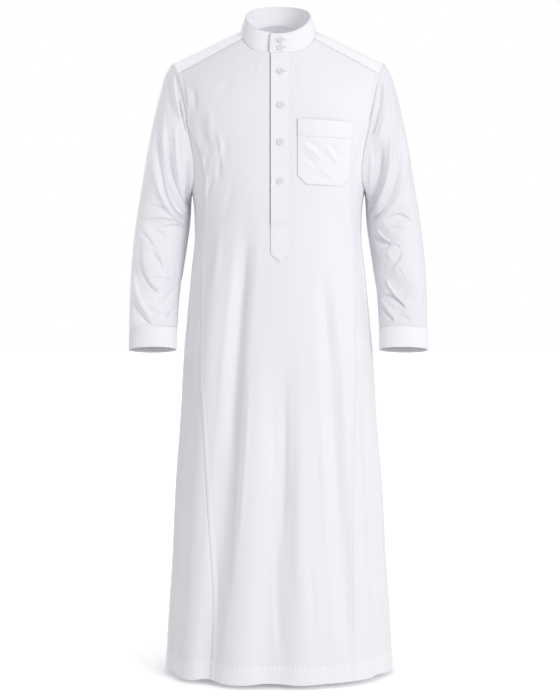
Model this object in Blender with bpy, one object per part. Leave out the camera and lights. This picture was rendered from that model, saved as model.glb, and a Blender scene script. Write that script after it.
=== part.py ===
"""White ankle-length thobe, hollow, in the shape it takes when worn. Metres, +Z up.

The front faces -Y and the wearer's left is +X. The origin is where the shoulders carry it, midway
between the high points of the two shoulders, at the side of the neck. Every piece is a wall of cloth:
a grid of outer points on a body surface, and the same grid moved in by the cloth's thickness.
"""

import math

import bpy
import numpy as np

# Cloth
CLOTH = 0.0012  # one layer, with its seam allowances flattened in
DOUBLE = 0.0020  # two layers with interfacing: collar and cuffs
GAP = 0.0006  # between pieces at a seam
LIFT = 0.0006  # between a panel and what is sewn flat on it

# Body of the garment
HEM_DROP = 1.370  # from the high point of the shoulder to the hem
HEM_RISE = 0.30  # how far the hem lifts where a fold draws it in, of the fold's depth
SHOULDER_TOP = 0.0435  # height where the two slopes of the shoulder line would meet
SHOULDER_SLOPE = 0.494  # fall for each metre out
NECK_ROUND = 0.040  # rounds the unseen meeting of the slopes
RIDGE_Y = 0.004  # the shoulder line, front to back
FRONT_ARCH = 0.160  # how far below the shoulder line the front reaches its full depth
BACK_ARCH = 0.070
YOKE_BACK_DROP = 0.100  # the straight seam across the back
BRANCH_DROP = 0.200  # where a side panel starts on the armhole
SIDE_TURN = 75.0  # degrees from centre front to the side seam
SHOULDER_SEAM_NECK_X = 0.0745
SHOULDER_SEAM_ARM = (0.2115, -0.090)  # x and height where that seam meets the armhole

# Neck and collar
NECK_HALF = 0.079
NECK_FRONT_DEGREES = 56.5  # how far over the front arch the neckline lies, at centre front
NECK_BACK_DEGREES = 30.4
NECK_POWER = 0.65  # below 1 squares the front of the neckline
RIM_HALF = 0.0680  # the collar's upper edge: half-width, half-depth and middle
RIM_DEPTH = 0.0565
RIM_Y = -0.0163
RIM_HEIGHT = (0.02675, -0.0305, -0.00425)  # mean, front-to-back and twice-round parts
COLLAR_BELLY = 0.0012  # how far the band rounds out between its edges
COLLAR_CLEAR = 0.0011  # between the collar's lower edge and the panels
COLLAR_UNDER_END = 15.0  # degrees past centre front, under the top end
COLLAR_TOP_END = 373.5  # degrees round to the top end, which laps over centre front
COLLAR_TUCK = 0.0026  # how far the under end sits inside the top end
COLLAR_TUCK_RUN = (16, 50)  # degrees from centre front over which the tuck fades out

# Placket, pocket and buttons
PLACKET_LEFT = -0.0155
PLACKET_RIGHT = 0.0245
PLACKET_TIP = 0.0045  # its middle line, where the point and the buttons are
PLACKET_CLOTH = 0.0016
PLACKET_CORNER_DROP = 0.463
PLACKET_TIP_DROP = 0.479
PLACKET_TOP_CLEAR = 0.0025  # below the neck seam
UNDER_TOP_CLEAR = 0.0050
SLIT = (-0.006, -0.002)  # the neck slit in the front panel, hidden by the placket
SLIT_DROP = 0.405
UNDER_PLACKET_DROP = 0.452
POCKET_LEFT = 0.040
POCKET_RIGHT_TOP = 0.154
POCKET_RIGHT_BOTTOM = 0.147
POCKET_TOP_DROPS = (0.183, 0.190)  # of its upper edge, on the left and on the right
POCKET_LOW_DROPS = (0.318, 0.323)
POCKET_CORNER = 0.018  # how much the slanted corners cut off
POCKET_LIFT = 0.0009
POCKET_BAND = 0.036  # depth of the turned band along the top
POCKET_BAND_CLOTH = 0.0018
POCKET_BULGE = 0.0020  # how far the mouth stands open in the middle
SIDE_POCKET = (0.425, 0.615)  # drops of the two ends of the pocket mouth in the side seam
SIDE_POCKET_LIP = 0.0026  # how far the mouth's front edge stands out
BUTTON_RADIUS = 0.0067
BUTTON_HEIGHT = 0.0030
BUTTON_DISH = 0.62  # height of the middle, of the button's
BUTTON_CLEAR = 0.0005
PLACKET_BUTTON_DROPS = (0.087, 0.156, 0.231, 0.311)
COLLAR_BUTTON_DEGREES = 3.0  # from centre front to the wearer's left
COLLAR_BUTTON_HEIGHTS = (0.66, 0.27)  # of the collar's height

# Sleeves and cuffs
SLEEVE_POWER = 2.25  # how square the sections are
CUFF_POWER = 2.10
CAP_ROWS = 4.0  # sections over which the armhole's shape passes into the sleeve's
CREASE_SPREAD = 1.5  # of a crease's stated half-width

# Mesh
UPPER_ROWS = 6  # from the top of the front panel to the branch
LOWER_ROWS = 20  # from the branch to the hem
LOWER_SPREAD = 1.15  # above 1 sets the rows closer near the branch
BACK_UPPER_ROWS = 4
BACK_COLUMNS = 18
BACK_SPREAD = 0.95
SIDE_FRONT_COLUMNS = 6
SIDE_BACK_COLUMNS = 8
YOKE_ROWS = 8
YOKE_NECK_COLUMNS = 7
COLLAR_COLUMNS = 46
COLLAR_ROWS = (0, 0.35, 0.7, 1)
CUFF_ROWS = 3
CREASE_STEPS = 12
BUTTON_SIDES = 16
RIGID_CENTRE = 0.030  # half-width of the front that the side seams do not pull on
FRONT_COLUMNS = (
    -0.2115, -0.190, -0.168, -0.146, -0.124, -0.099, -0.0745, -0.055, -0.036, PLACKET_LEFT,
    SLIT[0], SLIT[1], PLACKET_TIP, PLACKET_RIGHT, 0.040, 0.056, 0.0745, 0.099, 0.124, 0.146, 0.168,
    0.190, 0.2115,
)  # fmt: skip
SLEEVE_ROWS = (0, 0.3, 0.7, 1.2, 1.8, 2.5, 3.2, 3.9, 4.5, 5.1, 5.7, 6.2, 6.6, 7.0, 7.4, 7.8, 8.2,
               8.6, 9.0, 9.4, 9.75, 10)  # fmt: skip

WHITE = (0.90, 0.90, 0.93, 1.0)
BUTTON_WHITE = (0.88, 0.88, 0.90, 1.0)


def read_table(heading, *rows):
    """The named columns of a short table, as arrays."""
    return dict(zip(heading.split(), np.array(rows, float).T))


# Sections of the body: half-width, depth in front and behind, and how square the section is.
GIRTH = read_table(
    "drop half front back power",
    (-0.030, 0.270, 0.090, 0.094, 2.30),
    (0.050, 0.258, 0.100, 0.104, 2.30),
    (0.120, 0.239, 0.117, 0.116, 2.40),
    (0.200, 0.216, 0.127, 0.122, 2.50),
    (0.270, 0.197, 0.129, 0.124, 2.50),
    (0.340, 0.1835, 0.128, 0.122, 2.50),
    (0.380, 0.1785, 0.127, 0.121, 2.45),
    (0.430, 0.1775, 0.126, 0.121, 2.45),
    (0.500, 0.1845, 0.127, 0.125, 2.42),
    (0.600, 0.1945, 0.131, 0.134, 2.40),
    (0.700, 0.2045, 0.135, 0.143, 2.38),
    (0.840, 0.2135, 0.141, 0.154, 2.35),
    (0.980, 0.2235, 0.147, 0.163, 2.32),
    (1.120, 0.2305, 0.154, 0.172, 2.30),
    (1.260, 0.2400, 0.160, 0.180, 2.30),
    (1.400, 0.2470, 0.166, 0.187, 2.30),
)

# The front panel's edge: the armhole down to the branch, then the seam to the side panel. The centre
# of the front panel drifts a little to the wearer's left on its way down.
PANEL_EDGE = read_table(
    "drop half drift",
    (0.000, 0.2115, 0),
    (0.090, 0.2115, 0),
    (0.130, 0.2010, 0),
    (0.170, 0.1925, 0),
    (0.200, 0.1885, 0),
    (0.222, 0.1770, 0),
    (0.265, 0.1610, 0),
    (0.320, 0.1535, 0),
    (0.380, 0.1550, 0),
    (0.490, 0.1610, 0),
    (0.600, 0.1625, 0),
    (0.720, 0.1635, 0),
    (0.790, 0.1600, 0.002),
    (0.920, 0.1560, 0.004),
    (1.060, 0.1515, 0.0055),
    (1.200, 0.1500, 0.008),
    (1.400, 0.1560, 0.0065),
)

# The lower armhole, under the arm from the front branch to the back one, in degrees round the body.
ARMHOLE = read_table(
    "turn drop",
    (57.5, 0.200),
    (58.3, 0.240),
    (60.1, 0.275),
    (65.2, 0.308),
    (73.0, 0.326),
    (82.0, 0.335),
    (90.0, 0.338),
    (98.0, 0.335),
    (107.0, 0.326),
    (115.0, 0.308),
    (120.0, 0.275),
    (122.0, 0.240),
    (122.5, 0.200),
)

# The yoke's end on the armhole, over the shoulder line: `over` is below zero in front of it.
YOKE_END = read_table(
    "over half",
    (-0.377, 0.2115),
    (-0.150, 0.2215),
    (0.000, 0.2260),
    (0.250, 0.2225),
    (0.500, 0.2150),
    (0.714, 0.2085),
)

# Folds of the body, each from one end to the other: place and half-width in degrees round the body,
# depth in metres, troughs below zero. One that ends below the hem runs right through it.
FOLDS = read_table(
    "turn_top drop_top turn_end drop_end half_top half_end depth fade",
    (-16.5, 0.360, -37.5, 1.480, 9, 11, -0.0110, 0.20),
    (-40.0, 0.400, -52.0, 1.480, 13, 13, 0.0050, 0.25),
    (-8.0, 0.560, -19.5, 1.480, 11, 12, 0.0070, 0.30),
    (3.0, 0.600, -3.5, 1.480, 8, 11, -0.0080, 0.35),
    (12.0, 0.700, 10.0, 1.480, 10, 13, 0.0050, 0.35),
    (26.0, 0.460, 35.0, 1.320, 9, 10, -0.0070, 0.18),
    (-64.0, 0.480, -69.0, 1.480, 9, 11, -0.0060, 0.30),
    (57.0, 0.620, 60.0, 1.480, 9, 11, -0.0060, 0.30),
    (76.0, 0.700, 82.0, 1.480, 10, 12, 0.0050, 0.30),
    (-96.0, 0.520, -101.0, 1.480, 10, 12, -0.0080, 0.30),
    (104.0, 0.560, 106.0, 1.480, 10, 13, -0.0070, 0.30),
    (-124.0, 0.480, -128.0, 1.480, 12, 14, 0.0070, 0.30),
    (-150.0, 0.330, -147.0, 1.480, 11, 12, -0.0110, 0.25),
    (-172.0, 0.420, -168.0, 1.480, 11, 13, 0.0080, 0.30),
    (172.0, 0.480, 169.0, 1.480, 10, 12, -0.0090, 0.30),
    (148.0, 0.360, 145.0, 1.480, 11, 13, -0.0100, 0.25),
    (130.0, 0.600, 126.0, 1.480, 12, 13, 0.0060, 0.30),
)

# Sections of the sleeve, armhole first: the outer and inner sides in the front view, the middle and
# half-depth front to back, and how far the arm bends forward. The last section is the cuff seam.
SLEEVE = read_table(
    "out_x out_drop in_x in_drop mid_y depth bend",
    (0.2260, 0.0727, 0.1835, 0.338, 0.003, 0.080, 0),
    (0.2395, 0.0950, 0.1848, 0.345, 0.003, 0.079, 0),
    (0.2505, 0.1290, 0.1857, 0.352, 0.003, 0.077, 0),
    (0.2635, 0.1830, 0.1864, 0.360, 0.003, 0.073, 1),
    (0.2777, 0.2510, 0.1872, 0.370, 0.004, 0.069, 2),
    (0.2900, 0.3250, 0.1880, 0.386, 0.004, 0.065, 3),
    (0.3010, 0.3870, 0.1905, 0.414, 0.004, 0.062, 5),
    (0.3090, 0.4460, 0.1965, 0.456, 0.001, 0.060, 9),
    (0.3143, 0.5080, 0.2045, 0.508, -0.010, 0.057, 13),
    (0.3163, 0.5690, 0.2120, 0.563, -0.026, 0.051, 16),
    (0.3168, 0.6290, 0.2155, 0.627, -0.0435, 0.0365, 17),
)
CUFF_END = (0.3172, 0.6715, 0.2155, 0.6705, -0.0560, 0.0345, 17)

# Creases of each sleeve: `row` counts SLEEVE's sections, `round` is degrees from the outer side to the
# front, and half-widths are in metres across the crease.
CREASES_RIGHT = read_table(
    "row_a round_a row_b round_b half depth",
    (3.2, 68, 5.9, 132, 0.020, 0.0065),
    (1.8, 96, 5.2, 142, 0.018, 0.0060),
    (2.2, 78, 5.2, 126, 0.016, -0.0070),
    (5.9, 62, 7.1, 104, 0.020, -0.0050),
    (7.6, 24, 8.9, 76, 0.022, -0.0060),
    (8.9, 28, 9.8, 74, 0.016, -0.0040),
    (8.3, 150, 9.4, 104, 0.018, -0.0040),
    (6.2, -60, 7.6, -130, 0.024, -0.0060),
    (3.5, -80, 5.6, -140, 0.022, 0.0060),
    (8.2, -40, 9.3, -110, 0.022, -0.0050),
)
CREASES_LEFT = read_table(
    "row_a round_a row_b round_b half depth",
    (1.6, 62, 5.6, 138, 0.020, 0.0070),
    (2.2, 88, 5.4, 148, 0.016, -0.0070),
    (5.7, 64, 6.4, 104, 0.018, -0.0055),
    (6.2, 140, 7.2, 108, 0.022, -0.0055),
    (7.9, 140, 9.1, 84, 0.022, -0.0065),
    (7.8, 30, 9.2, 64, 0.020, 0.0045),
    (9.0, 126, 9.8, 92, 0.014, -0.0040),
    (5.9, -55, 7.3, -125, 0.024, -0.0060),
    (3.0, -75, 5.2, -135, 0.022, 0.0060),
    (8.4, -50, 9.4, -115, 0.022, -0.0050),
)

# A turned button's outline, from its foot over the rim to the edge of the dish, as parts of its
# radius and height.
BUTTON_OUTLINE = read_table(
    "radius height",
    (0.80, 0.00),
    (1.00, 0.35),
    (0.97, 0.85),
    (0.86, 1.00),
    (0.68, 0.72),
)


# ---------------------------------------------------------------- curves and the body's surface


def row_slopes(keys, values):
    """Slopes for a cubic that never swings past its rows: the harmonic mean on each side of a row."""
    steps = np.diff(values) / np.diff(keys)
    before, after = steps[:-1], steps[1:]
    together = before * after > 0
    total = np.where(together, before + after, 1.0)
    middle = np.where(together, 2 * before * after / total, 0.0)
    return np.concatenate([steps[:1], middle, steps[-1:]])


def smooth(table, key, name, at):
    """A column of a table at these values of its key column: a cubic through the rows."""
    keys, values = table[key], table[name]
    slopes = row_slopes(keys, values)
    at = np.clip(np.asarray(at, float), keys[0], keys[-1])
    row = np.clip(np.searchsorted(keys, at) - 1, 0, len(keys) - 2)
    span = keys[row + 1] - keys[row]
    t = (at - keys[row]) / span
    start, end = values[row], values[row + 1]
    rise = (3 - 2 * t) * t * t
    lead = t * (1 - t) ** 2 * slopes[row] * span
    trail = t * t * (t - 1) * slopes[row + 1] * span
    return start + (end - start) * rise + lead + trail


def ease(t):
    t = np.clip(t, 0, 1)
    return t * t * (3 - 2 * t)


def bump(t):
    """1 in the middle, falling smoothly to 0 at -1 and 1."""
    return 0.5 + 0.5 * np.cos(math.pi * np.clip(t, -1, 1))


def signed_power(value, power):
    return np.sign(value) * np.abs(value) ** power


def unit(vectors):
    length = np.linalg.norm(vectors, axis=-1, keepdims=True)
    return vectors / np.maximum(length, 1e-12)


def girth(z):
    return [smooth(GIRTH, "drop", name, -z) for name in ("half", "front", "back", "power")]


def shoulder_line(x):
    """Height of the shoulder line, and of its unseen run across the neck."""
    return SHOULDER_TOP - SHOULDER_SLOPE * np.sqrt(x * x + NECK_ROUND**2)


def arched(x, y, z):
    """Draws a section's front or back in towards the shoulder line, as it nears its height."""
    fall = np.where(y < 0, FRONT_ARCH, BACK_ARCH)
    t = np.clip((shoulder_line(x) - z) / fall, 0, 1)
    return RIDGE_Y + (y - RIDGE_Y) * np.sqrt(1 - (1 - t) ** 2)


def bare_body(turn, z):
    """The body without folds: `turn` is in degrees from centre front to the wearer's left."""
    turn, z = np.broadcast_arrays(np.asarray(turn, float), np.asarray(z, float))
    half, front, back, power = girth(z)
    angle = np.radians(turn)
    x = half * signed_power(np.sin(angle), 2 / power)
    depth = np.where(np.cos(angle) > 0, front, back)
    y = -depth * signed_power(np.cos(angle), 2 / power)
    return np.stack([x, arched(x, y, z), z], axis=-1)


def body_normal(turn, z):
    turn_step, z_step = 0.6, 0.002
    across = bare_body(turn + turn_step, z) - bare_body(turn - turn_step, z)
    upwards = bare_body(turn, z + z_step) - bare_body(turn, z - z_step)
    return unit(np.cross(across, upwards))


def fold_depth(turn, z):
    """How far the folds move the cloth out from the bare body."""
    turn, z = np.broadcast_arrays(np.asarray(turn, float), np.asarray(z, float))
    total = np.zeros(turn.shape)
    for fold in zip(*FOLDS.values()):
        turn_top, drop_top, turn_end, drop_end, half_top, half_end, depth, fade = fold
        part = np.clip((-z - drop_top) / (drop_end - drop_top), 0, 1)
        away = turn - (turn_top + (turn_end - turn_top) * part)
        away = (away + 180) % 360 - 180
        half = half_top + (half_end - half_top) * part
        strength = ease((-z - drop_top) / fade) * ease((drop_end + z) / (0.5 * fade))
        total += depth * strength * bump(away / half)
    return total


def hem_height(turn):
    return -HEM_DROP - HEM_RISE * fold_depth(turn, -HEM_DROP)


def body(turn, z):
    """Outer points and their outward directions."""
    normal = body_normal(turn, z)
    return bare_body(turn, z) + normal * fold_depth(turn, z)[..., None], normal


def turn_at(x, z, front=True):
    """Degrees round the body of the point with this x, on its front or its back."""
    half, _, _, power = girth(z)
    angle = np.degrees(np.arcsin(np.clip(np.abs(x) / half, 0, 1) ** (power / 2)))
    return np.where(x < 0, -1, 1) * (angle if front else 180 - angle)


def over_shoulder(x, over):
    """Points across the shoulder line: `over` is -1 to 0 in front of it, and above 0 behind it."""
    x, over = np.broadcast_arrays(np.asarray(x, float), np.asarray(over, float))
    fall = np.where(over < 0, FRONT_ARCH, BACK_ARCH)
    angle = np.minimum(np.abs(over), 1) * math.pi / 2
    past = np.maximum(np.abs(over) - 1, 0) * math.pi / 2
    z = shoulder_line(x) - fall * (1 - np.cos(angle) + past)
    half, front, back, power = girth(z)
    round_off = (1 - np.clip(np.abs(x) / half, 0, 1) ** power) ** (1 / power)
    full = np.where(over < 0, -front, back) * round_off
    return np.stack([x, RIDGE_Y + (full - RIDGE_Y) * np.sin(angle), z], axis=-1)


def shoulder_normal(x, over):
    step = 0.004
    across = over_shoulder(x + step, over) - over_shoulder(x - step, over)
    backwards = over_shoulder(x, over + step) - over_shoulder(x, over - step)
    return unit(np.cross(across, backwards))


def over_at(x, z, front):
    """The `over` of the point with this x and height, in front of the shoulder line or behind it."""
    fall = FRONT_ARCH if front else BACK_ARCH
    drop = (shoulder_line(x) - z) / fall
    over = np.arccos(np.clip(1 - drop, 0, 1)) / (math.pi / 2) + np.maximum(drop - 1, 0) / (math.pi / 2)
    return -over if front else over


def neckline(degrees):
    """x and `over` of the neck seam, in degrees from centre front to the wearer's left."""
    angle = np.radians(degrees)
    reach = np.where(np.cos(angle) > 0, -NECK_FRONT_DEGREES, NECK_BACK_DEGREES)
    return NECK_HALF * np.sin(angle), reach / 90 * np.abs(np.cos(angle)) ** NECK_POWER


def front_top(x):
    """Height of the front panel's upper edge: the neckline, then the shoulder seam."""
    x = np.abs(x)
    neck_x, neck_over = neckline(np.degrees(np.arcsin(np.clip(x / NECK_HALF, 0, 1))))
    neck = over_shoulder(neck_x, neck_over)[..., 2]
    start = over_shoulder(*neckline(NECK_SEAM_DEGREES))[2]
    arm_x, arm_z = SHOULDER_SEAM_ARM
    part = (x - SHOULDER_SEAM_NECK_X) / (arm_x - SHOULDER_SEAM_NECK_X)
    return np.where(part <= 0, neck, start + (arm_z - start) * part)


NECK_SEAM_DEGREES = math.degrees(math.asin(SHOULDER_SEAM_NECK_X / NECK_HALF))
LOWER = (np.arange(LOWER_ROWS + 1) / LOWER_ROWS) ** LOWER_SPREAD


# ---------------------------------------------------------------- cloth walls


def pull_in(points, sides):
    """Shift of each grid point that leaves half a seam's gap along the named sides."""
    shift = np.zeros(points.shape)
    if "top" in sides:
        shift[0] += unit(points[1] - points[0])
    if "bottom" in sides:
        shift[-1] += unit(points[-2] - points[-1])
    if "left" in sides:
        shift[:, 0] += unit(points[:, 1] - points[:, 0])
    if "right" in sides:
        shift[:, -1] += unit(points[:, -2] - points[:, -1])
    return shift * GAP / 2


def wall_mesh(name, outer, inner, keep=None, wrap=False):
    """A closed wall between two grids of points; `keep` says which of the grid's squares are cloth."""
    rows, columns = outer.shape[:2]
    wide = columns if wrap else columns - 1
    keep = np.ones((rows - 1, wide), bool) if keep is None else keep
    half = rows * columns

    def corner(row, column, layer):
        return layer * half + row * columns + column % columns

    def kept(row, column):
        if wrap:
            column %= wide
        return 0 <= row < rows - 1 and 0 <= column < wide and keep[row, column]

    faces = []
    for row in range(rows - 1):
        for column in range(wide):
            if not keep[row, column]:
                continue
            ring = [(row, column), (row + 1, column), (row + 1, column + 1), (row, column + 1)]
            faces.append([corner(*at, 0) for at in ring])
            faces.append([corner(*at, 1) for at in reversed(ring)])
            beside = [(row, column - 1), (row + 1, column), (row, column + 1), (row - 1, column)]
            for first, second, neighbour in zip(ring, ring[1:] + ring[:1], beside):
                if not kept(*neighbour):
                    faces.append([corner(*second, 0), corner(*first, 0),
                                  corner(*first, 1), corner(*second, 1)])  # fmt: skip
    points = np.concatenate([outer.reshape(-1, 3), inner.reshape(-1, 3)])
    used = sorted({index for face in faces for index in face})
    place = {index: at for at, index in enumerate(used)}
    mesh = bpy.data.meshes.new(name)
    mesh.from_pydata([tuple(points[i]) for i in used], [], [[place[i] for i in f] for f in faces])
    mesh.validate()
    mesh.shade_smooth()
    mesh.set_sharp_from_angle(angle=math.radians(50))
    return mesh


def add_object(name, mesh, colour, roughness):
    material = bpy.data.materials.new(name)
    material.use_nodes = True
    shader = material.node_tree.nodes["Principled BSDF"]
    shader.inputs["Base Color"].default_value = colour
    shader.inputs["Roughness"].default_value = roughness
    shader.inputs["Metallic"].default_value = 0.0
    mesh.materials.append(material)
    piece = bpy.data.objects.new(name, mesh)
    bpy.context.scene.collection.objects.link(piece)
    return piece


def sew(name, outer, normal, sides=(), cloth=CLOTH, keep=None):
    """Adds a piece of cloth from its outer points and their outward directions."""
    shift = pull_in(outer, sides)
    inner = outer - normal * cloth
    mesh = wall_mesh(name, outer + shift, inner + shift, keep)
    return add_object(name, mesh, WHITE, 0.8)


# ---------------------------------------------------------------- body panels


def edge_half(z):
    return smooth(PANEL_EDGE, "drop", "half", -z)


def edge_drift(z):
    return smooth(PANEL_EDGE, "drop", "drift", -z)


def front_x(column, z):
    """Where a column of the front panel, named by its x at the chest, lies at this height."""
    widest = FRONT_COLUMNS[-1]
    size = np.abs(column)
    narrowed = RIGID_CENTRE + (size - RIGID_CENTRE) * (edge_half(z) - RIGID_CENTRE) / (widest - RIGID_CENTRE)
    return np.sign(column) * np.where(size < RIGID_CENTRE, size, narrowed) + edge_drift(z)


def rows_down(top, middle, bottom, upper_rows):
    """Heights from `top` through `middle` to `bottom`, the lower part spaced as on every panel."""
    upper = top + (middle - top) * np.arange(upper_rows)[:, None] / upper_rows
    lower = middle + (bottom - middle) * LOWER[:, None]
    return np.concatenate([upper, lower])


def front_grid():
    column = np.array(FRONT_COLUMNS)
    branch = np.full(column.shape, -BRANCH_DROP)
    bottom = hem_height(turn_at(front_x(column, -HEM_DROP), -HEM_DROP))
    z = rows_down(front_top(column), branch, bottom, UPPER_ROWS)
    x = front_x(column[None, :], z)
    points, normal = body(turn_at(x, z), z)
    return points, normal


def front_panel():
    points, normal = front_grid()
    keep = np.ones((points.shape[0] - 1, points.shape[1] - 1), bool)
    column = FRONT_COLUMNS.index(SLIT[0])
    keep[points[:-1, column, 2] > -SLIT_DROP, column] = False
    return sew("front_panel", points, normal, ("top", "left", "right"), keep=keep)


def back_grid():
    part = signed_power(np.linspace(-1, 1, BACK_COLUMNS + 1), BACK_SPREAD)
    top = np.full(part.shape, -YOKE_BACK_DROP)
    branch = np.full(part.shape, -BRANCH_DROP)
    bottom = hem_height(turn_at(part * edge_half(-HEM_DROP), -HEM_DROP, front=False))
    z = rows_down(top, branch, bottom, BACK_UPPER_ROWS)
    x = part[None, :] * edge_half(z)
    return body(turn_at(x, z, front=False), z)


def back_panel():
    points, normal = back_grid()
    return sew("back_panel", points[:, ::-1], normal[:, ::-1], ("top", "left", "right"))


def armhole_low(side, first_turn, last_turn, count):
    """Turn and height of evenly spaced points under the arm, between two turns."""
    order = np.linspace(0, 1, 400)  # fine enough to measure along
    index = np.arange(len(ARMHOLE["turn"])) / (len(ARMHOLE["turn"]) - 1)
    curve = {"at": index, "turn": ARMHOLE["turn"], "drop": ARMHOLE["drop"]}
    turn = smooth(curve, "at", "turn", order)
    z = -smooth(curve, "at", "drop", order)
    inside = (turn >= first_turn - 1e-9) & (turn <= last_turn + 1e-9)
    turn, z = turn[inside], z[inside]
    points = bare_body(turn, z)
    length = np.concatenate([[0], np.cumsum(np.linalg.norm(np.diff(points, axis=0), axis=1))])
    even = np.linspace(0, length[-1], count + 1)
    return side * np.interp(even, length, turn), np.interp(even, length, z)


def seam_turn(side, z, front):
    """Turn of the seam between the side panel and the front or back panel."""
    if front:
        return turn_at(side * edge_half(z) + edge_drift(z), z)
    return turn_at(side * edge_half(z), z, front=False)


def side_grid(side, front):
    """One half of a side panel: its columns start on the armhole and end at the hem."""
    side_turn = side * SIDE_TURN
    branch_turn = abs(float(seam_turn(side, np.float64(-BRANCH_DROP), front)))
    if front:
        turn_top, z_top = armhole_low(side, branch_turn, SIDE_TURN, SIDE_FRONT_COLUMNS)
        turn_top[0], z_top[0] = side * branch_turn, -BRANCH_DROP
        turn_top[-1] = side_turn
    else:
        turn_top, z_top = armhole_low(side, SIDE_TURN, branch_turn, SIDE_BACK_COLUMNS)
        turn_top[0] = side_turn
        turn_top[-1], z_top[-1] = side * branch_turn, -BRANCH_DROP
    seam_top = seam_turn(side, z_top, front)
    with np.errstate(divide="ignore", invalid="ignore"):
        part = (turn_top - side_turn) / (seam_top - side_turn)
    part[0 if front else -1] = 1.0
    hem_turn = side_turn + part * (seam_turn(side, np.float64(-HEM_DROP), front) - side_turn)
    bottom = hem_height(hem_turn)
    z = z_top + (bottom - z_top) * LOWER[:, None]
    turn = side_turn + part * (seam_turn(side, z, front) - side_turn)
    turn[0] = turn_top
    return body(turn, z)


def side_panel(side, front):
    points, normal = side_grid(side, front)
    name = f"side_{'front' if front else 'back'}_{'left' if side > 0 else 'right'}"
    if front:
        drop = -points[:, -1, 2]
        middle = sum(SIDE_POCKET) / 2
        reach = (SIDE_POCKET[1] - SIDE_POCKET[0]) / 2
        mouth = np.where(np.abs(drop - middle) < reach, SIDE_POCKET_LIP, 0.0)
        points[:, -1] += normal[:, -1] * mouth[:, None]
    sides = ("top", "left", "right")
    if side < 0:
        points, normal = points[:, ::-1], normal[:, ::-1]
    return sew(name, points, normal, sides)


def yoke_grid():
    """Rows from the back seam to the shoulder seams and the neckline, columns right to left."""
    shoulder = np.array([x for x in FRONT_COLUMNS if x > SHOULDER_SEAM_NECK_X - 1e-6])
    shoulder_over = over_at(shoulder, front_top(shoulder), front=True)
    neck_degrees = np.linspace(NECK_SEAM_DEGREES, 180, YOKE_NECK_COLUMNS + 1)[1:]
    neck_x, neck_over = neckline(neck_degrees)
    top_x = np.concatenate([neck_x[::-1], shoulder])
    top_over = np.concatenate([neck_over[::-1], shoulder_over])
    widest = edge_half(-YOKE_BACK_DROP)
    part = np.linspace(0, 1, len(top_x))
    low_x = part * widest
    low_over = over_at(low_x, np.full(low_x.shape, -YOKE_BACK_DROP), front=False)
    up = np.linspace(0, 1, YOKE_ROWS + 1)[:, None]
    x = low_x + (top_x - low_x) * up
    over = low_over + (top_over - low_over) * up
    end = smooth(YOKE_END, "over", "half", over[:, -1])
    x += (end - x[:, -1])[:, None] * part**4
    x[0], x[-1] = low_x, top_x
    x = np.concatenate([-x[:, :0:-1], x], axis=1)
    over = np.concatenate([over[:, :0:-1], over], axis=1)
    return over_shoulder(x, over), shoulder_normal(x, over)


def yoke():
    points, normal = yoke_grid()
    return sew("yoke", points, normal, ("top", "bottom", "left", "right"))


# ---------------------------------------------------------------- sleeves and cuffs


def armhole_loop(side):
    """The whole armhole, from the front shoulder seam over the shoulder, down the back and round."""
    yoke_points, yoke_normal = yoke_grid()
    back_points, back_normal = back_grid()
    front_points, front_normal = front_grid()
    side_front, side_front_normal = side_grid(side, True)
    side_back, side_back_normal = side_grid(side, False)
    end = -1 if side > 0 else 0
    runs = (
        (yoke_points[::-1, end][:-1], yoke_normal[::-1, end][:-1]),
        (back_points[:BACK_UPPER_ROWS, end], back_normal[:BACK_UPPER_ROWS, end]),
        (side_back[0, ::-1][:-1], side_back_normal[0, ::-1][:-1]),
        (side_front[0, ::-1][:-1], side_front_normal[0, ::-1][:-1]),
        (front_points[UPPER_ROWS:0:-1, end], front_normal[UPPER_ROWS:0:-1, end]),
    )
    return tuple(np.concatenate(part) for part in zip(*runs))


def round_angles(loop):
    """Degrees round the sleeve of each armhole point: 0 on top, 90 in front, 180 under the arm."""
    step = np.linalg.norm(np.roll(loop, -1, axis=0) - loop, axis=1)
    length = np.concatenate([[0], np.cumsum(step)])
    top, low = int(np.argmax(loop[:, 2])), int(np.argmin(loop[:, 2]))
    from_top = (length[:-1] - length[top]) % length[-1]
    back_run = (length[low] - length[top]) % length[-1]
    behind = from_top / back_run * 180
    ahead = 180 + (from_top - back_run) / (length[-1] - back_run) * 180
    return -np.where(from_top <= back_run, behind, ahead)


def sleeve_section(side, section, degrees, power):
    """One ring of points from a section: outer and inner side, middle, depth and bend."""
    out_x, out_drop, in_x, in_drop, mid_y, depth, bend = section
    outside = np.array([out_x, mid_y, -out_drop])
    inside = np.array([in_x, mid_y, -in_drop])
    forward = np.array([0, -math.cos(math.radians(bend)), math.sin(math.radians(bend))])
    angle = np.radians(degrees)[:, None]
    across = (outside - inside) / 2 * signed_power(np.cos(angle), 2 / power)
    ring = (outside + inside) / 2 + across + forward * depth * signed_power(np.sin(angle), 2 / power)
    return ring * (side, 1, 1)


def sleeve_row(row):
    table = dict(SLEEVE, row=np.arange(len(SLEEVE["bend"]), dtype=float))
    return [float(smooth(table, "row", name, row)) for name in SLEEVE]


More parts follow.
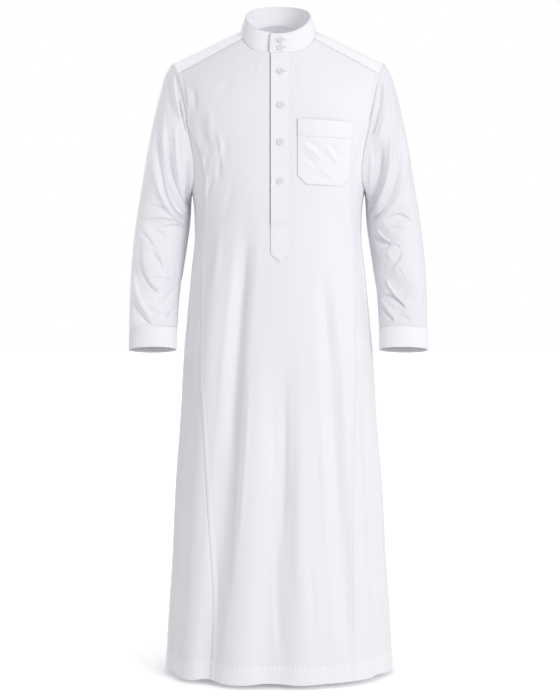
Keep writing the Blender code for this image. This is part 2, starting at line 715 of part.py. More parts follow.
def crease_depth(creases, points, rows, degrees):
    """How far the creases move a sleeve's grid of points, from its distance to each crease's line."""
    total = np.zeros(points.shape[:2])
    degrees = (degrees + 180) % 360 - 180
    for row_a, round_a, row_b, round_b, half, depth in zip(*creases.values()):
        line = []
        for part in np.linspace(0, 1, CREASE_STEPS + 1):
            row = row_a + (row_b - row_a) * part
            angle = round_a + (round_b - round_a) * part
            at = int(np.argmin(np.abs((degrees - angle + 180) % 360 - 180)))
            column = points[:, at]
            line.append([np.interp(row, rows, column[:, axis]) for axis in range(3)])
        line = np.array(line)
        far = np.linalg.norm(points[:, :, None] - line, axis=-1)
        nearest = far.argmin(axis=-1)
        strength = np.sin(math.pi * np.clip((nearest + 0.5) / len(line), 0, 1)) ** 0.5
        total += depth * strength * bump(far.min(axis=-1) / (CREASE_SPREAD * half))
    return total


def grid_normal(points, side):
    """Outward directions of a tube's grid of points, rows along it and columns round it."""
    along = np.gradient(points, axis=0)
    around = np.roll(points, -1, axis=1) - np.roll(points, 1, axis=1)
    return unit(np.cross(along, around)) * side


def armhole_start(loop, normal, first_row):
    """The sleeve's first ring, a seam's gap from the armhole, and the direction of its end face."""
    tangent = unit(np.roll(loop, -1, axis=0) - np.roll(loop, 1, axis=0))
    away = unit(np.cross(normal, tangent))
    if np.sum(away * (loop.mean(axis=0) - loop)) < 0:
        away = -away
    leave = first_row - loop
    leave = unit(leave - tangent * np.sum(leave * tangent, axis=1, keepdims=True))
    out_part = np.sum(leave * normal, axis=1, keepdims=True)
    on_part = np.sum(leave * away, axis=1, keepdims=True)
    sleeve_normal = normal * on_part - away * out_part
    end_normal = np.where(out_part > 0, sleeve_normal, normal)
    start = loop + GAP * (away + normal * np.clip(-1.5 * on_part, 0, 1.2))
    return start, unit(end_normal)


def sleeve_grid(side):
    loop, normal = armhole_loop(side)
    degrees = round_angles(loop)
    rows = np.array(SLEEVE_ROWS)
    rings = [sleeve_section(side, sleeve_row(row), degrees, SLEEVE_POWER) for row in rows]
    points = np.array(rings)
    fade = 1 - ease(rows / CAP_ROWS)
    points += (loop - points[0]) * fade[:, None, None]
    surface = grid_normal(points, side)
    creases = CREASES_LEFT if side > 0 else CREASES_RIGHT
    ends = ease(rows / 1.5) * ease((rows[-1] - rows) / 0.5)  # no crease reaches either seam
    points = points + surface * (crease_depth(creases, points, rows, degrees) * ends[:, None])[..., None]
    surface = grid_normal(points, side)
    points[0], surface[0] = armhole_start(loop, normal, points[1])
    return points, surface, degrees


def tube(name, points, normal, cloth, side):
    """Adds a closed tube of cloth from rings of outer points."""
    inner = points - normal * cloth
    if side < 0:
        points, inner = points[:, ::-1], inner[:, ::-1]
    mesh = wall_mesh(name, points, inner, wrap=True)
    return add_object(name, mesh, WHITE, 0.8)


def sleeve(side):
    points, normal, _ = sleeve_grid(side)
    return tube(f"sleeve_{'left' if side > 0 else 'right'}", points, normal, CLOTH, side)


def cuff(side):
    """A plain doubled band that ends the sleeve: its top ring is a gap below the sleeve's last."""
    _, _, degrees = sleeve_grid(side)
    start = np.array(sleeve_row(SLEEVE_ROWS[-1]))
    end = np.array(CUFF_END)
    drop = end[1] - start[1]
    rings = []
    for part in np.linspace(GAP / drop, 1, CUFF_ROWS + 1):
        section = start + (end - start) * part
        rings.append(sleeve_section(side, section, degrees, CUFF_POWER))
    points = np.array(rings)
    return tube(f"cuff_{'left' if side > 0 else 'right'}", points, grid_normal(points, side), DOUBLE, side)


# ---------------------------------------------------------------- collar


def collar_rim(degrees):
    angle = np.radians(degrees)
    mean, once, twice = RIM_HEIGHT
    x = RIM_HALF * np.sin(angle)
    y = RIM_Y - RIM_DEPTH * np.cos(angle)
    z = mean + once * np.cos(angle) + twice * np.cos(2 * angle)
    return np.stack([x, y, z], axis=-1)


def collar_band(degrees, tuck):
    """Outer points of the band, base row first, and the directions out of the neck."""
    base = over_shoulder(*neckline(degrees))
    body_out = shoulder_normal(*neckline(degrees))
    base = base + body_out * COLLAR_CLEAR
    rim = collar_rim(degrees)
    out = unit((base - (0, RIM_Y, 0)) * (1, 1, 0))
    rows = []
    for part in COLLAR_ROWS:
        belly = COLLAR_BELLY * math.sin(math.pi * part)
        rows.append(base + (rim - base) * part + out * (belly - tuck[:, None]))
    points = np.array(rows)
    upwards = unit(rim - base)
    around = np.gradient(points[1], axis=0)
    normal = np.repeat(unit(np.cross(upwards, around))[None], len(rows), axis=0)
    normal[0] = unit(normal[0] - body_out * np.sum(normal[0] * body_out, axis=1, keepdims=True))
    return points, normal


def collar():
    """From the under end, round by the wearer's right and the back, to the top end over it."""
    degrees = np.linspace(COLLAR_UNDER_END, -COLLAR_TOP_END, COLLAR_COLUMNS + 1)
    start, end = COLLAR_TUCK_RUN
    tuck = COLLAR_TUCK * (1 - ease((-degrees - start) / (end - start)))
    points, normal = collar_band(degrees, tuck)
    inner = points - normal * DOUBLE
    mesh = wall_mesh("collar", points, inner)
    return add_object("collar", mesh, WHITE, 0.8)


# ---------------------------------------------------------------- placket, pocket and buttons


def down_column(points, normal, column, z):
    """The point and outward direction at this height on one column of the front panel's facets."""
    heights = points[::-1, column, 2]
    values = np.concatenate([points[::-1, column], normal[::-1, column]], axis=1)
    return np.array([np.interp(z, heights, values[:, axis]) for axis in range(6)])


def on_front(x, z):
    """A point of the front panel's own facets and its outward direction, from x and height."""
    points, normal = front_grid()
    column = int(np.clip(np.searchsorted(points[UPPER_ROWS, :, 0], x) - 1, 0, points.shape[1] - 2))
    first = down_column(points, normal, column, z)
    second = down_column(points, normal, column + 1, z)
    both = first + (second - first) * (x - first[0]) / (second[0] - first[0])
    return both[:3], unit(both[3:])


def strip_on_front(columns, top_clear, bottom, lift):
    """Points over the front panel's own, in the named columns, between the neck and a lower edge."""
    points, normal = front_grid()
    at = [FRONT_COLUMNS.index(column) for column in columns]
    low = np.array([bottom(column) for column in columns])
    least = 0.010  # between the last whole row and the lower edge
    inner = [row for row in range(1, len(points)) if points[row, at[0], 2] > low.max() + least]
    top = [down_column(points, normal, index, points[0, index, 2] - top_clear) for index in at]
    end = [down_column(points, normal, index, z) for index, z in zip(at, low)]
    middle = [np.concatenate([points[row, at], normal[row, at]], axis=1) for row in inner]
    rows = np.array([top, *middle, end])
    out = unit(rows[..., 3:])
    return rows[..., :3] + out * lift, out


def placket_top():
    """The pointed strip over the slit, its upper edge just below the collar."""
    half = (PLACKET_RIGHT - PLACKET_LEFT) / 2

    def bottom(x):
        point = 1 - abs(x - PLACKET_TIP) / half
        return -PLACKET_CORNER_DROP - (PLACKET_TIP_DROP - PLACKET_CORNER_DROP) * point

    columns = [x for x in FRONT_COLUMNS if PLACKET_LEFT <= x <= PLACKET_RIGHT]
    points, normal = strip_on_front(columns, PLACKET_TOP_CLEAR, bottom, LIFT + PLACKET_CLOTH)
    return sew("placket_top", points, normal, cloth=PLACKET_CLOTH)


def placket_under():
    """The strip behind the slit that the buttons are sewn to."""
    columns = [x for x in FRONT_COLUMNS if PLACKET_LEFT <= x <= PLACKET_TIP]
    points, normal = strip_on_front(
        columns, UNDER_TOP_CLEAR, lambda x: -UNDER_PLACKET_DROP, -CLOTH - LIFT
    )
    return sew("placket_under", points, normal)


def lifted_grid(xs, heights, lift):
    """Outer points over the front panel: `heights` has a row of z for each row of the grid."""
    found = [[on_front(x, z) for x, z in zip(xs_row, row)] for xs_row, row in zip(xs, heights)]
    points = np.array([[at[0] for at in row] for row in found])
    normal = np.array([[at[1] for at in row] for row in found])
    return points + normal * np.asarray(lift)[..., None], normal


def pocket_edges(down):
    """Left and right x of the pocket, at a part of its height from the top."""
    right = POCKET_RIGHT_TOP + (POCKET_RIGHT_BOTTOM - POCKET_RIGHT_TOP) * down
    return POCKET_LEFT, right


def chest_pocket():
    """A patch pocket, its turned band thicker, its bottom corners cut off at a slant."""
    height = POCKET_LOW_DROPS[0] - POCKET_TOP_DROPS[0]
    band = POCKET_BAND / height
    step = 0.01  # from the band's thickness to the single layer below it
    corner = 1 - POCKET_CORNER / height
    downs = (0, band / 2, band - step, band + step, 0.42, 0.57, 0.72, corner, 1)
    across = np.linspace(0, 1, 7)
    xs, heights, lifts = [], [], []
    for down in downs:
        left, right = pocket_edges(down)
        inset = POCKET_CORNER * max(0, (down - corner) / (1 - corner))
        line_x = left + inset + (right - left - 2 * inset) * across
        top = np.interp(across, (0, 1), POCKET_TOP_DROPS)
        low = np.interp(across, (0, 1), POCKET_LOW_DROPS)
        bulge = POCKET_BULGE * np.sin(math.pi * across) * math.cos(math.pi / 2 * down)
        cloth = POCKET_BAND_CLOTH if down < band else CLOTH
        xs.append(line_x)
        heights.append(-(top + (low - top) * down))
        lifts.append(POCKET_LIFT + bulge + cloth)
    points, normal = lifted_grid(xs, heights, lifts)
    cloths = np.array([POCKET_BAND_CLOTH if down < band else CLOTH for down in downs])
    inner = points - normal * cloths[:, None, None]
    mesh = wall_mesh("chest_pocket", points, inner)
    return add_object("chest_pocket", mesh, WHITE, 0.8)


def button_mesh(name, centre, out):
    """A turned disc with a raised rim and a dished middle, its axis along `out`."""
    outline = list(zip(BUTTON_OUTLINE["radius"] * BUTTON_RADIUS, BUTTON_OUTLINE["height"] * BUTTON_HEIGHT))
    out = unit(np.asarray(out))
    right = unit(np.cross((0, 0, 1), out))
    up = np.cross(out, right)
    points = [centre, centre + out * BUTTON_DISH * BUTTON_HEIGHT]
    for radius, height in outline:
        for step in range(BUTTON_SIDES):
            angle = 2 * math.pi * step / BUTTON_SIDES
            spoke = right * math.cos(angle) + up * math.sin(angle)
            points.append(centre + spoke * radius + out * height)
    faces = []
    last = 2 + (len(outline) - 1) * BUTTON_SIDES
    for step in range(BUTTON_SIDES):
        after = (step + 1) % BUTTON_SIDES
        faces.append([0, 2 + after, 2 + step])
        faces.append([1, last + step, last + after])
        for ring in range(len(outline) - 1):
            low = 2 + ring * BUTTON_SIDES
            high = low + BUTTON_SIDES
            faces.append([low + step, low + after, high + after, high + step])
    mesh = bpy.data.meshes.new(name)
    mesh.from_pydata([tuple(point) for point in points], [], faces)
    mesh.shade_smooth()
    mesh.set_sharp_from_angle(angle=math.radians(40))
    return mesh


def buttons():
    for number, drop in enumerate(PLACKET_BUTTON_DROPS, 1):
        point, out = on_front(PLACKET_TIP, -drop)
        centre = point + out * (LIFT + PLACKET_CLOTH + BUTTON_CLEAR)
        name = f"button_placket_{number}"
        add_object(name, button_mesh(name, centre, out), BUTTON_WHITE, 0.35)
    degrees = COLLAR_BUTTON_DEGREES - 360 + np.array([1, 0, -1])
    points, _ = collar_band(degrees, np.zeros(3))
    base, rim = points[0, 1], points[-1, 1]
    out = unit(np.cross(unit(rim - base), points[0, 2] - points[0, 0]))
    for number, part in enumerate(COLLAR_BUTTON_HEIGHTS, 1):
        belly = COLLAR_BELLY * math.sin(math.pi * part)
        centre = base + (rim - base) * part + out * (belly + BUTTON_CLEAR)
        name = f"button_collar_{number}"
        add_object(name, button_mesh(name, centre, out), BUTTON_WHITE, 0.35)


# ---------------------------------------------------------------- the thobe


for leftover in list(bpy.data.objects):
    bpy.data.objects.remove(leftover)

front_panel()
back_panel()
yoke()
for wearer_side in (-1, 1):
    side_panel(wearer_side, front=True)
    side_panel(wearer_side, front=False)
    sleeve(wearer_side)
    cuff(wearer_side)
collar()
placket_top()
placket_under()
chest_pocket()
buttons()
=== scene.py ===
"""Dresses a white ankle-length thobe in its cloth, sewing, buttons and light. Metres, +Z up, front to -Y.

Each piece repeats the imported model's own surfaces, finer, with the creases, seams and stitches of worn
cotton poplin. The pieces follow in the order in which the robe is sewn together.
"""

import math

import bmesh
import bpy
import numpy as np
from mathutils import Matrix, Vector


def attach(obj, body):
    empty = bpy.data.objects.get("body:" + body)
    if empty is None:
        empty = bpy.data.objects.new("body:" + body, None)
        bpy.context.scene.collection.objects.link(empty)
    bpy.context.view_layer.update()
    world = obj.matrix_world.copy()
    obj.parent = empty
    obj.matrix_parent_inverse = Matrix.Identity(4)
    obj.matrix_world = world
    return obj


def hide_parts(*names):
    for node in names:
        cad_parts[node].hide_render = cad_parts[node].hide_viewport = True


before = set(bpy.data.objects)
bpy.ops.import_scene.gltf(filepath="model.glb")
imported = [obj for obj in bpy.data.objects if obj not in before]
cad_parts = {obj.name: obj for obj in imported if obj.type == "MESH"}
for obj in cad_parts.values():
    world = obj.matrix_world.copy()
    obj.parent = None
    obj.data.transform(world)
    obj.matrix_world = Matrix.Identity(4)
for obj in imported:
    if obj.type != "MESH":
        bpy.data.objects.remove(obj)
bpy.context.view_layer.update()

# ================================================================ front panel
# One length of white cotton poplin from the shoulder seams to the hem, cut with a slit at the neck. Its
# side edges are lapped over the side panels and topstitched, and the hem is turned up and sewn flat.

POPLIN = 0.0005  # thickness of one layer
TURN_UP = 0.038  # the hem's doubled band
LAP = 0.0070  # width of the pressed seam allowance that shows as a ridge
LAP_HEIGHT = 0.0010
LAP_STITCH = 0.0030  # from the edge to the topstitching
UNDERLAP = 0.0030  # how far the lower piece runs on beneath
POPLIN_WHITE = "E9E9EE"
TWO_LAYERS = "EDEDF2"  # less shows through where the cloth lies doubled

HEM_DROP = 1.370
HEM_RISE = 0.30
SHOULDER_TOP = 0.0435
SHOULDER_SLOPE = 0.494
NECK_ROUND = 0.040
RIDGE_Y = 0.004
FRONT_ARCH = 0.160
BACK_ARCH = 0.070
BRANCH_DROP = 0.200
SHOULDER_SEAM_NECK_X = 0.0745
SHOULDER_SEAM_ARM = (0.2115, -0.090)
NECK_HALF = 0.079
NECK_FRONT_DEGREES = 56.5
NECK_BACK_DEGREES = 30.4
NECK_POWER = 0.65
NECK_SEAM_DEGREES = math.degrees(math.asin(SHOULDER_SEAM_NECK_X / NECK_HALF))
RIGID_CENTRE = 0.030
PLACKET_LEFT = -0.0155
PLACKET_RIGHT = 0.0245
PLACKET_WIDTH = PLACKET_RIGHT - PLACKET_LEFT
OPEN_GAP = 0.0022  # width of the open gap along the placket's edge
OPEN_DEPTH = 0.0042
SLIT = (-0.0085, -0.0045)
SLIT_DROP = 0.405
FRONT_HALF = 0.2115  # half-width at the chest, by which the columns are named


def read_table(heading, *rows):
    """The named columns of a short table, as arrays."""
    return dict(zip(heading.split(), np.array(rows, float).T))


GIRTH = read_table(
    "drop half front back power",
    (-0.030, 0.270, 0.090, 0.094, 2.30),
    (0.050, 0.258, 0.100, 0.104, 2.30),
    (0.120, 0.239, 0.117, 0.116, 2.40),
    (0.200, 0.216, 0.127, 0.122, 2.50),
    (0.270, 0.197, 0.129, 0.124, 2.50),
    (0.340, 0.1835, 0.128, 0.122, 2.50),
    (0.380, 0.1785, 0.127, 0.121, 2.45),
    (0.430, 0.1775, 0.126, 0.121, 2.45),
    (0.500, 0.1845, 0.127, 0.125, 2.42),
    (0.600, 0.1945, 0.131, 0.134, 2.40),
    (0.700, 0.2045, 0.135, 0.143, 2.38),
    (0.840, 0.2135, 0.141, 0.154, 2.35),
    (0.980, 0.2235, 0.147, 0.163, 2.32),
    (1.120, 0.2305, 0.154, 0.172, 2.30),
    (1.260, 0.2400, 0.160, 0.180, 2.30),
    (1.400, 0.2470, 0.166, 0.187, 2.30),
)

PANEL_EDGE = read_table(
    "drop half drift",
    (0.000, 0.2115, 0),
    (0.090, 0.2115, 0),
    (0.130, 0.2010, 0),
    (0.170, 0.1925, 0),
    (0.200, 0.1885, 0),
    (0.222, 0.1770, 0),
    (0.265, 0.1610, 0),
    (0.320, 0.1535, 0),
    (0.380, 0.1550, 0),
    (0.490, 0.1610, 0),
    (0.600, 0.1625, 0),
    (0.720, 0.1635, 0),
    (0.790, 0.1600, 0.002),
    (0.920, 0.1560, 0.004),
    (1.060, 0.1515, 0.0055),
    (1.200, 0.1500, 0.008),
    (1.400, 0.1560, 0.0065),
)

# The large folds, as in the model: troughs below zero, each from one end to the other.
FOLDS = read_table(
    "turn_top drop_top turn_end drop_end half_top half_end depth fade",
    (-16.5, 0.360, -37.5, 1.480, 9, 11, -0.0110, 0.20),
    (-40.0, 0.400, -52.0, 1.480, 13, 13, 0.0050, 0.25),
    (-8.0, 0.560, -19.5, 1.480, 11, 12, 0.0070, 0.30),
    (3.0, 0.600, -3.5, 1.480, 8, 11, -0.0080, 0.35),
    (12.0, 0.700, 10.0, 1.480, 10, 13, 0.0050, 0.35),
    (26.0, 0.460, 35.0, 1.320, 9, 10, -0.0070, 0.18),
    (-64.0, 0.480, -69.0, 1.480, 9, 11, -0.0060, 0.30),
    (57.0, 0.620, 60.0, 1.480, 9, 11, -0.0060, 0.30),
    (76.0, 0.700, 82.0, 1.480, 10, 12, 0.0050, 0.30),
    (-96.0, 0.520, -101.0, 1.480, 10, 12, -0.0080, 0.30),
    (104.0, 0.560, 106.0, 1.480, 10, 13, -0.0070, 0.30),
    (-124.0, 0.480, -128.0, 1.480, 12, 14, 0.0070, 0.30),
    (-150.0, 0.330, -147.0, 1.480, 11, 12, -0.0110, 0.25),
    (-172.0, 0.420, -168.0, 1.480, 11, 13, 0.0080, 0.30),
    (172.0, 0.480, 169.0, 1.480, 10, 12, -0.0090, 0.30),
    (148.0, 0.360, 145.0, 1.480, 11, 13, -0.0100, 0.25),
    (130.0, 0.600, 126.0, 1.480, 12, 13, 0.0060, 0.30),
)

# Smaller creases of the front and sides, in millimetres: from (x, drop) to (x, drop), bowed sideways in
# the middle, with the half-width at each end, the height (troughs below zero), how far the profile leans
# to the wearer's left, how crisp its crest is, and how quickly it fades in and out at its two ends.
FRONT_CREASES = read_table(
    "x_a drop_a x_b drop_b bow half_a half_b height lean crisp fade_a fade_b",
    # the long trough down the wearer's right, its outer side soft and its inner side steep
    (-62, 395, -92, 905, -4, 20, 26, -4.5, -0.45, 0.30, 0.35, 0.25),
    (-72, 655, -106, 1235, -3, 15, 22, -4.0, -0.55, 0.45, 0.30, 0.30),
    (-58, 690, -92, 1180, 3, 9, 12, 2.2, 0.20, 0.60, 0.25, 0.40),
    (-122, 400, -140, 560, 3, 14, 17, 2.5, 0.00, 0.20, 0.30, 0.50),
    (-108, 560, -124, 1080, 4, 22, 24, 2.0, 0.00, 0.10, 0.40, 0.40),
    (-138, 1000, -126, 1300, -3, 14, 18, -2.0, 0.00, 0.20, 0.40, 0.40),
    # the middle
    (14, 680, 6, 1120, 5, 13, 16, -3.4, -0.35, 0.35, 0.35, 0.35),
    (-2, 1040, 6, 1330, -5, 13, 17, -2.4, 0.30, 0.20, 0.35, 0.30),
    (-22, 760, -34, 1200, 4, 18, 22, 2.2, 0.00, 0.10, 0.40, 0.40),
    (44, 820, 50, 1260, -5, 20, 24, 1.8, 0.00, 0.10, 0.40, 0.40),
    # the wearer's left
    (92, 520, 106, 740, 4, 12, 15, -2.6, 0.35, 0.30, 0.35, 0.50),
    (104, 700, 128, 1110, 6, 14, 18, -3.4, 0.40, 0.30, 0.35, 0.35),
    (88, 760, 98, 1180, 5, 14, 18, 2.0, 0.00, 0.10, 0.40, 0.40),
    (136, 640, 146, 900, -3, 10, 12, 1.6, 0.00, 0.20, 0.40, 0.40),
    (62, 1060, 74, 1330, 4, 12, 16, -1.6, 0.00, 0.10, 0.40, 0.30),
    # short pulls that cross the seam on the wearer's left, near the hem
    (132, 1150, 154, 1172, 2, 7, 8, -1.3, 0.20, 0.40, 0.40, 0.40),
    (134, 1186, 156, 1206, 2, 7, 8, -1.2, 0.20, 0.40, 0.40, 0.40),
    (136, 1226, 155, 1243, 2, 6, 8, -1.2, 0.20, 0.40, 0.40, 0.40),
    (136, 1262, 156, 1276, 1, 6, 7, -1.1, 0.20, 0.40, 0.40, 0.40),
    (146, 838, 156, 868, 1, 8, 9, -1.6, 0.00, 0.20, 0.45, 0.45),
    # drags from the wearer's right armhole down across the chest
    (-193, 108, -188, 178, 3, 6, 7, 2.6, 0.20, 0.50, 0.30, 0.45),
    (-178, 116, -172, 176, 3, 8, 9, -3.4, -0.20, 0.20, 0.30, 0.45),
    (-164, 168, -136, 262, -6, 15, 18, -3.0, -0.20, 0.10, 0.40, 0.40),
    (-150, 150, -142, 240, 4, 10, 12, 1.8, 0.20, 0.30, 0.40, 0.40),
    (-128, 196, -118, 316, 5, 7, 12, 3.0, 0.30, 0.45, 0.35, 0.40),
    (-104, 224, -126, 326, -5, 12, 15, -3.2, 0.30, 0.30, 0.35, 0.35),
    (-146, 206, -160, 308, -2, 5, 7, 1.5, 0.00, 0.60, 0.40, 0.30),
    (-132, 292, -150, 362, -3, 7, 9, -1.8, 0.20, 0.30, 0.35, 0.40),
    (-118, 215, -156, 360, -8, 5, 8, 1.2, 0.20, 0.60, 0.35, 0.30),
    (-84, 300, -112, 398, -4, 10, 13, -1.4, 0.00, 0.10, 0.45, 0.45),
    # beside the wearer's left armhole
    (190, 112, 187, 172, 3, 8, 9, -2.6, 0.20, 0.20, 0.35, 0.45),
    (176, 124, 168, 206, 4, 10, 12, 1.4, 0.00, 0.10, 0.40, 0.45),
    (172, 214, 160, 306, 3, 9, 10, -1.8, 0.10, 0.20, 0.40, 0.45),
    # little pleats that fan out below the collar
    (-46, 60, -58, 104, 2, 5, 9, -1.0, 0.00, 0.30, 0.25, 0.60),
    (-34, 64, -40, 124, 2, 4, 8, -0.9, 0.00, 0.30, 0.25, 0.60),
    (-24, 68, -26, 118, -1, 4, 7, -0.8, 0.00, 0.30, 0.25, 0.60),
    (32, 66, 36, 138, 2, 5, 9, -0.9, 0.00, 0.30, 0.25, 0.60),
    (42, 62, 56, 126, -2, 5, 9, 0.9, 0.00, 0.30, 0.25, 0.60),
    (-92, 92, -128, 132, 4, 14, 18, -1.4, 0.00, 0.10, 0.45, 0.45),
    (96, 84, 140, 128, -3, 16, 20, -1.2, 0.00, 0.10, 0.45, 0.45),
)
# Creases of the side panels and the back, by degrees round from centre front and millimetres.
BACK_CREASES = read_table(
    "turn_a drop_a turn_b drop_b bow half_a half_b height lean crisp fade_a fade_b",
    (-84, 470, -90, 980, 5, 13, 17, -3.0, 0.20, 0.20, 0.35, 0.40),
    (-72, 600, -78, 1240, -5, 12, 16, 2.2, 0.00, 0.20, 0.40, 0.35),
    (86, 520, 92, 1100, 5, 12, 16, -2.8, -0.20, 0.20, 0.35, 0.40),
    (70, 760, 73, 1300, 4, 10, 14, 2.0, 0.00, 0.20, 0.40, 0.35),
    (-112, 420, -116, 1010, -6, 14, 20, -3.4, 0.30, 0.20, 0.35, 0.35),
    (116, 520, 112, 1240, 6, 14, 20, 3.0, 0.00, 0.15, 0.40, 0.35),
    (-140, 250, -150, 470, 8, 12, 17, -2.6, 0.20, 0.30, 0.40, 0.50),
    (-128, 230, -141, 420, -6, 9, 14, 2.2, 0.00, 0.30, 0.40, 0.50),
    (136, 240, 149, 480, -8, 12, 18, -2.8, -0.20, 0.30, 0.40, 0.50),
    (126, 220, 134, 400, 5, 9, 13, 2.0, 0.00, 0.30, 0.40, 0.50),
    (-157, 380, -153, 1150, 7, 12, 20, -3.6, -0.35, 0.35, 0.30, 0.30),
    (-164, 520, -161, 1280, -5, 12, 17, 2.8, 0.20, 0.30, 0.35, 0.30),
    (-178, 260, -174, 900, 6, 16, 20, -2.6, 0.20, 0.15, 0.40, 0.40),
    (178, 640, 175, 1300, -6, 12, 17, -3.0, 0.30, 0.30, 0.35, 0.30),
    (164, 420, 160, 1210, 5, 14, 18, 2.6, 0.00, 0.20, 0.35, 0.35),
    (154, 330, 151, 1050, -6, 12, 18, -3.2, 0.35, 0.30, 0.30, 0.35),
    (140, 700, 137, 1300, 6, 13, 18, 2.6, 0.00, 0.20, 0.40, 0.30),
    (-133, 700, -136, 1290, 5, 13, 18, -2.4, 0.00, 0.20, 0.40, 0.30),
    (-170, 130, -176, 250, 4, 9, 14, -1.4, 0.00, 0.20, 0.30, 0.50),
    (168, 130, 176, 270, -4, 9, 14, -1.4, 0.00, 0.20, 0.30, 0.50),
)


def row_slopes(keys, values):
    """Slopes for a cubic that never swings past its rows: the harmonic mean on each side of a row."""
    steps = np.diff(values) / np.diff(keys)
    before, after = steps[:-1], steps[1:]
    together = before * after > 0
    total = np.where(together, before + after, 1.0)
    middle = np.where(together, 2 * before * after / total, 0.0)
    return np.concatenate([steps[:1], middle, steps[-1:]])


def smooth(table, key, name, at):
    """A column of a table at these values of its key column: a cubic through the rows."""
    keys, values = table[key], table[name]
    slopes = row_slopes(keys, values)
    at = np.clip(np.asarray(at, float), keys[0], keys[-1])
    row = np.clip(np.searchsorted(keys, at) - 1, 0, len(keys) - 2)
    span = keys[row + 1] - keys[row]
    t = (at - keys[row]) / span
    start, end = values[row], values[row + 1]
    rise = (3 - 2 * t) * t * t
    lead = t * (1 - t) ** 2 * slopes[row] * span
    trail = t * t * (t - 1) * slopes[row + 1] * span
    return start + (end - start) * rise + lead + trail


def ease(t):
    t = np.clip(t, 0, 1)
    return t * t * (3 - 2 * t)


def bump(t):
    """1 in the middle, falling smoothly to 0 at -1 and 1."""
    return 0.5 + 0.5 * np.cos(math.pi * np.clip(t, -1, 1))


def signed_power(value, power):
    return np.sign(value) * np.abs(value) ** power


def unit(vectors):
    length = np.linalg.norm(vectors, axis=-1, keepdims=True)
    return vectors / np.maximum(length, 1e-12)


def girth(z):
    return [smooth(GIRTH, "drop", name, -z) for name in ("half", "front", "back", "power")]


def shoulder_line(x):
    return SHOULDER_TOP - SHOULDER_SLOPE * np.sqrt(x * x + NECK_ROUND**2)


def arched(x, y, z):
    """Draws a section's front or back in towards the shoulder line, as it nears its height."""
    fall = np.where(y < 0, FRONT_ARCH, BACK_ARCH)
    t = np.clip((shoulder_line(x) - z) / fall, 0, 1)
    return RIDGE_Y + (y - RIDGE_Y) * np.sqrt(1 - (1 - t) ** 2)


def bare_body(turn, z):
    """The body without folds: `turn` is in degrees from centre front to the wearer's left."""
    turn, z = np.broadcast_arrays(np.asarray(turn, float), np.asarray(z, float))
    half, front, back, power = girth(z)
    angle = np.radians(turn)
    x = half * signed_power(np.sin(angle), 2 / power)
    depth = np.where(np.cos(angle) > 0, front, back)
    y = -depth * signed_power(np.cos(angle), 2 / power)
    return np.stack([x, arched(x, y, z), z], axis=-1)


def body_normal(turn, z):
    turn_step, z_step = 0.6, 0.002
    across = bare_body(turn + turn_step, z) - bare_body(turn - turn_step, z)
    upwards = bare_body(turn, z + z_step) - bare_body(turn, z - z_step)
    return unit(np.cross(across, upwards))


def fold_depth(turn, z):
    """How far the large folds move the cloth out from the bare body."""
    turn, z = np.broadcast_arrays(np.asarray(turn, float), np.asarray(z, float))
    total = np.zeros(turn.shape)
    for fold in zip(*FOLDS.values()):
        turn_top, drop_top, turn_end, drop_end, half_top, half_end, depth, fade = fold
        part = np.clip((-z - drop_top) / (drop_end - drop_top), 0, 1)
        away = turn - (turn_top + (turn_end - turn_top) * part)
        away = (away + 180) % 360 - 180
        half = half_top + (half_end - half_top) * part
        strength = ease((-z - drop_top) / fade) * ease((drop_end + z) / (0.5 * fade))
        total += depth * strength * bump(away / half)
    return total


def hem_height(turn):
    return -HEM_DROP - HEM_RISE * fold_depth(turn, -HEM_DROP)


def body(turn, z):
    """Outer points of the folded body and their outward directions."""
    normal = body_normal(turn, z)
    return bare_body(turn, z) + normal * fold_depth(turn, z)[..., None], normal


def turn_at(x, z, front=True):
    """Degrees round the body of the point with this x, on its front or its back."""
    half, _, _, power = girth(z)
    angle = np.degrees(np.arcsin(np.clip(np.abs(x) / half, 0, 1) ** (power / 2)))
    return np.where(x < 0, -1, 1) * (angle if front else 180 - angle)


def over_shoulder(x, over):
    """Points across the shoulder line: `over` is -1 to 0 in front of it, and above 0 behind it."""
    x, over = np.broadcast_arrays(np.asarray(x, float), np.asarray(over, float))
    fall = np.where(over < 0, FRONT_ARCH, BACK_ARCH)
    angle = np.minimum(np.abs(over), 1) * math.pi / 2
    past = np.maximum(np.abs(over) - 1, 0) * math.pi / 2
    z = shoulder_line(x) - fall * (1 - np.cos(angle) + past)
    half, front, back, power = girth(z)
    round_off = (1 - np.clip(np.abs(x) / half, 0, 1) ** power) ** (1 / power)
    full = np.where(over < 0, -front, back) * round_off
    return np.stack([x, RIDGE_Y + (full - RIDGE_Y) * np.sin(angle), z], axis=-1)


def neckline(degrees):
    """x and `over` of the neck seam, in degrees from centre front to the wearer's left."""
    angle = np.radians(degrees)
    reach = np.where(np.cos(angle) > 0, -NECK_FRONT_DEGREES, NECK_BACK_DEGREES)
    return NECK_HALF * np.sin(angle), reach / 90 * np.abs(np.cos(angle)) ** NECK_POWER


def front_top(x):
    """Height of the front panel's upper edge: the neckline, then the shoulder seam."""
    x = np.abs(x)
    neck_x, neck_over = neckline(np.degrees(np.arcsin(np.clip(x / NECK_HALF, 0, 1))))
    neck = over_shoulder(neck_x, neck_over)[..., 2]
    start = over_shoulder(*neckline(NECK_SEAM_DEGREES))[2]
    arm_x, arm_z = SHOULDER_SEAM_ARM
    part = (x - SHOULDER_SEAM_NECK_X) / (arm_x - SHOULDER_SEAM_NECK_X)
    return np.where(part <= 0, neck, start + (arm_z - start) * part)


def edge_half(z):
    return smooth(PANEL_EDGE, "drop", "half", -z)


def edge_drift(z):
    return smooth(PANEL_EDGE, "drop", "drift", -z)


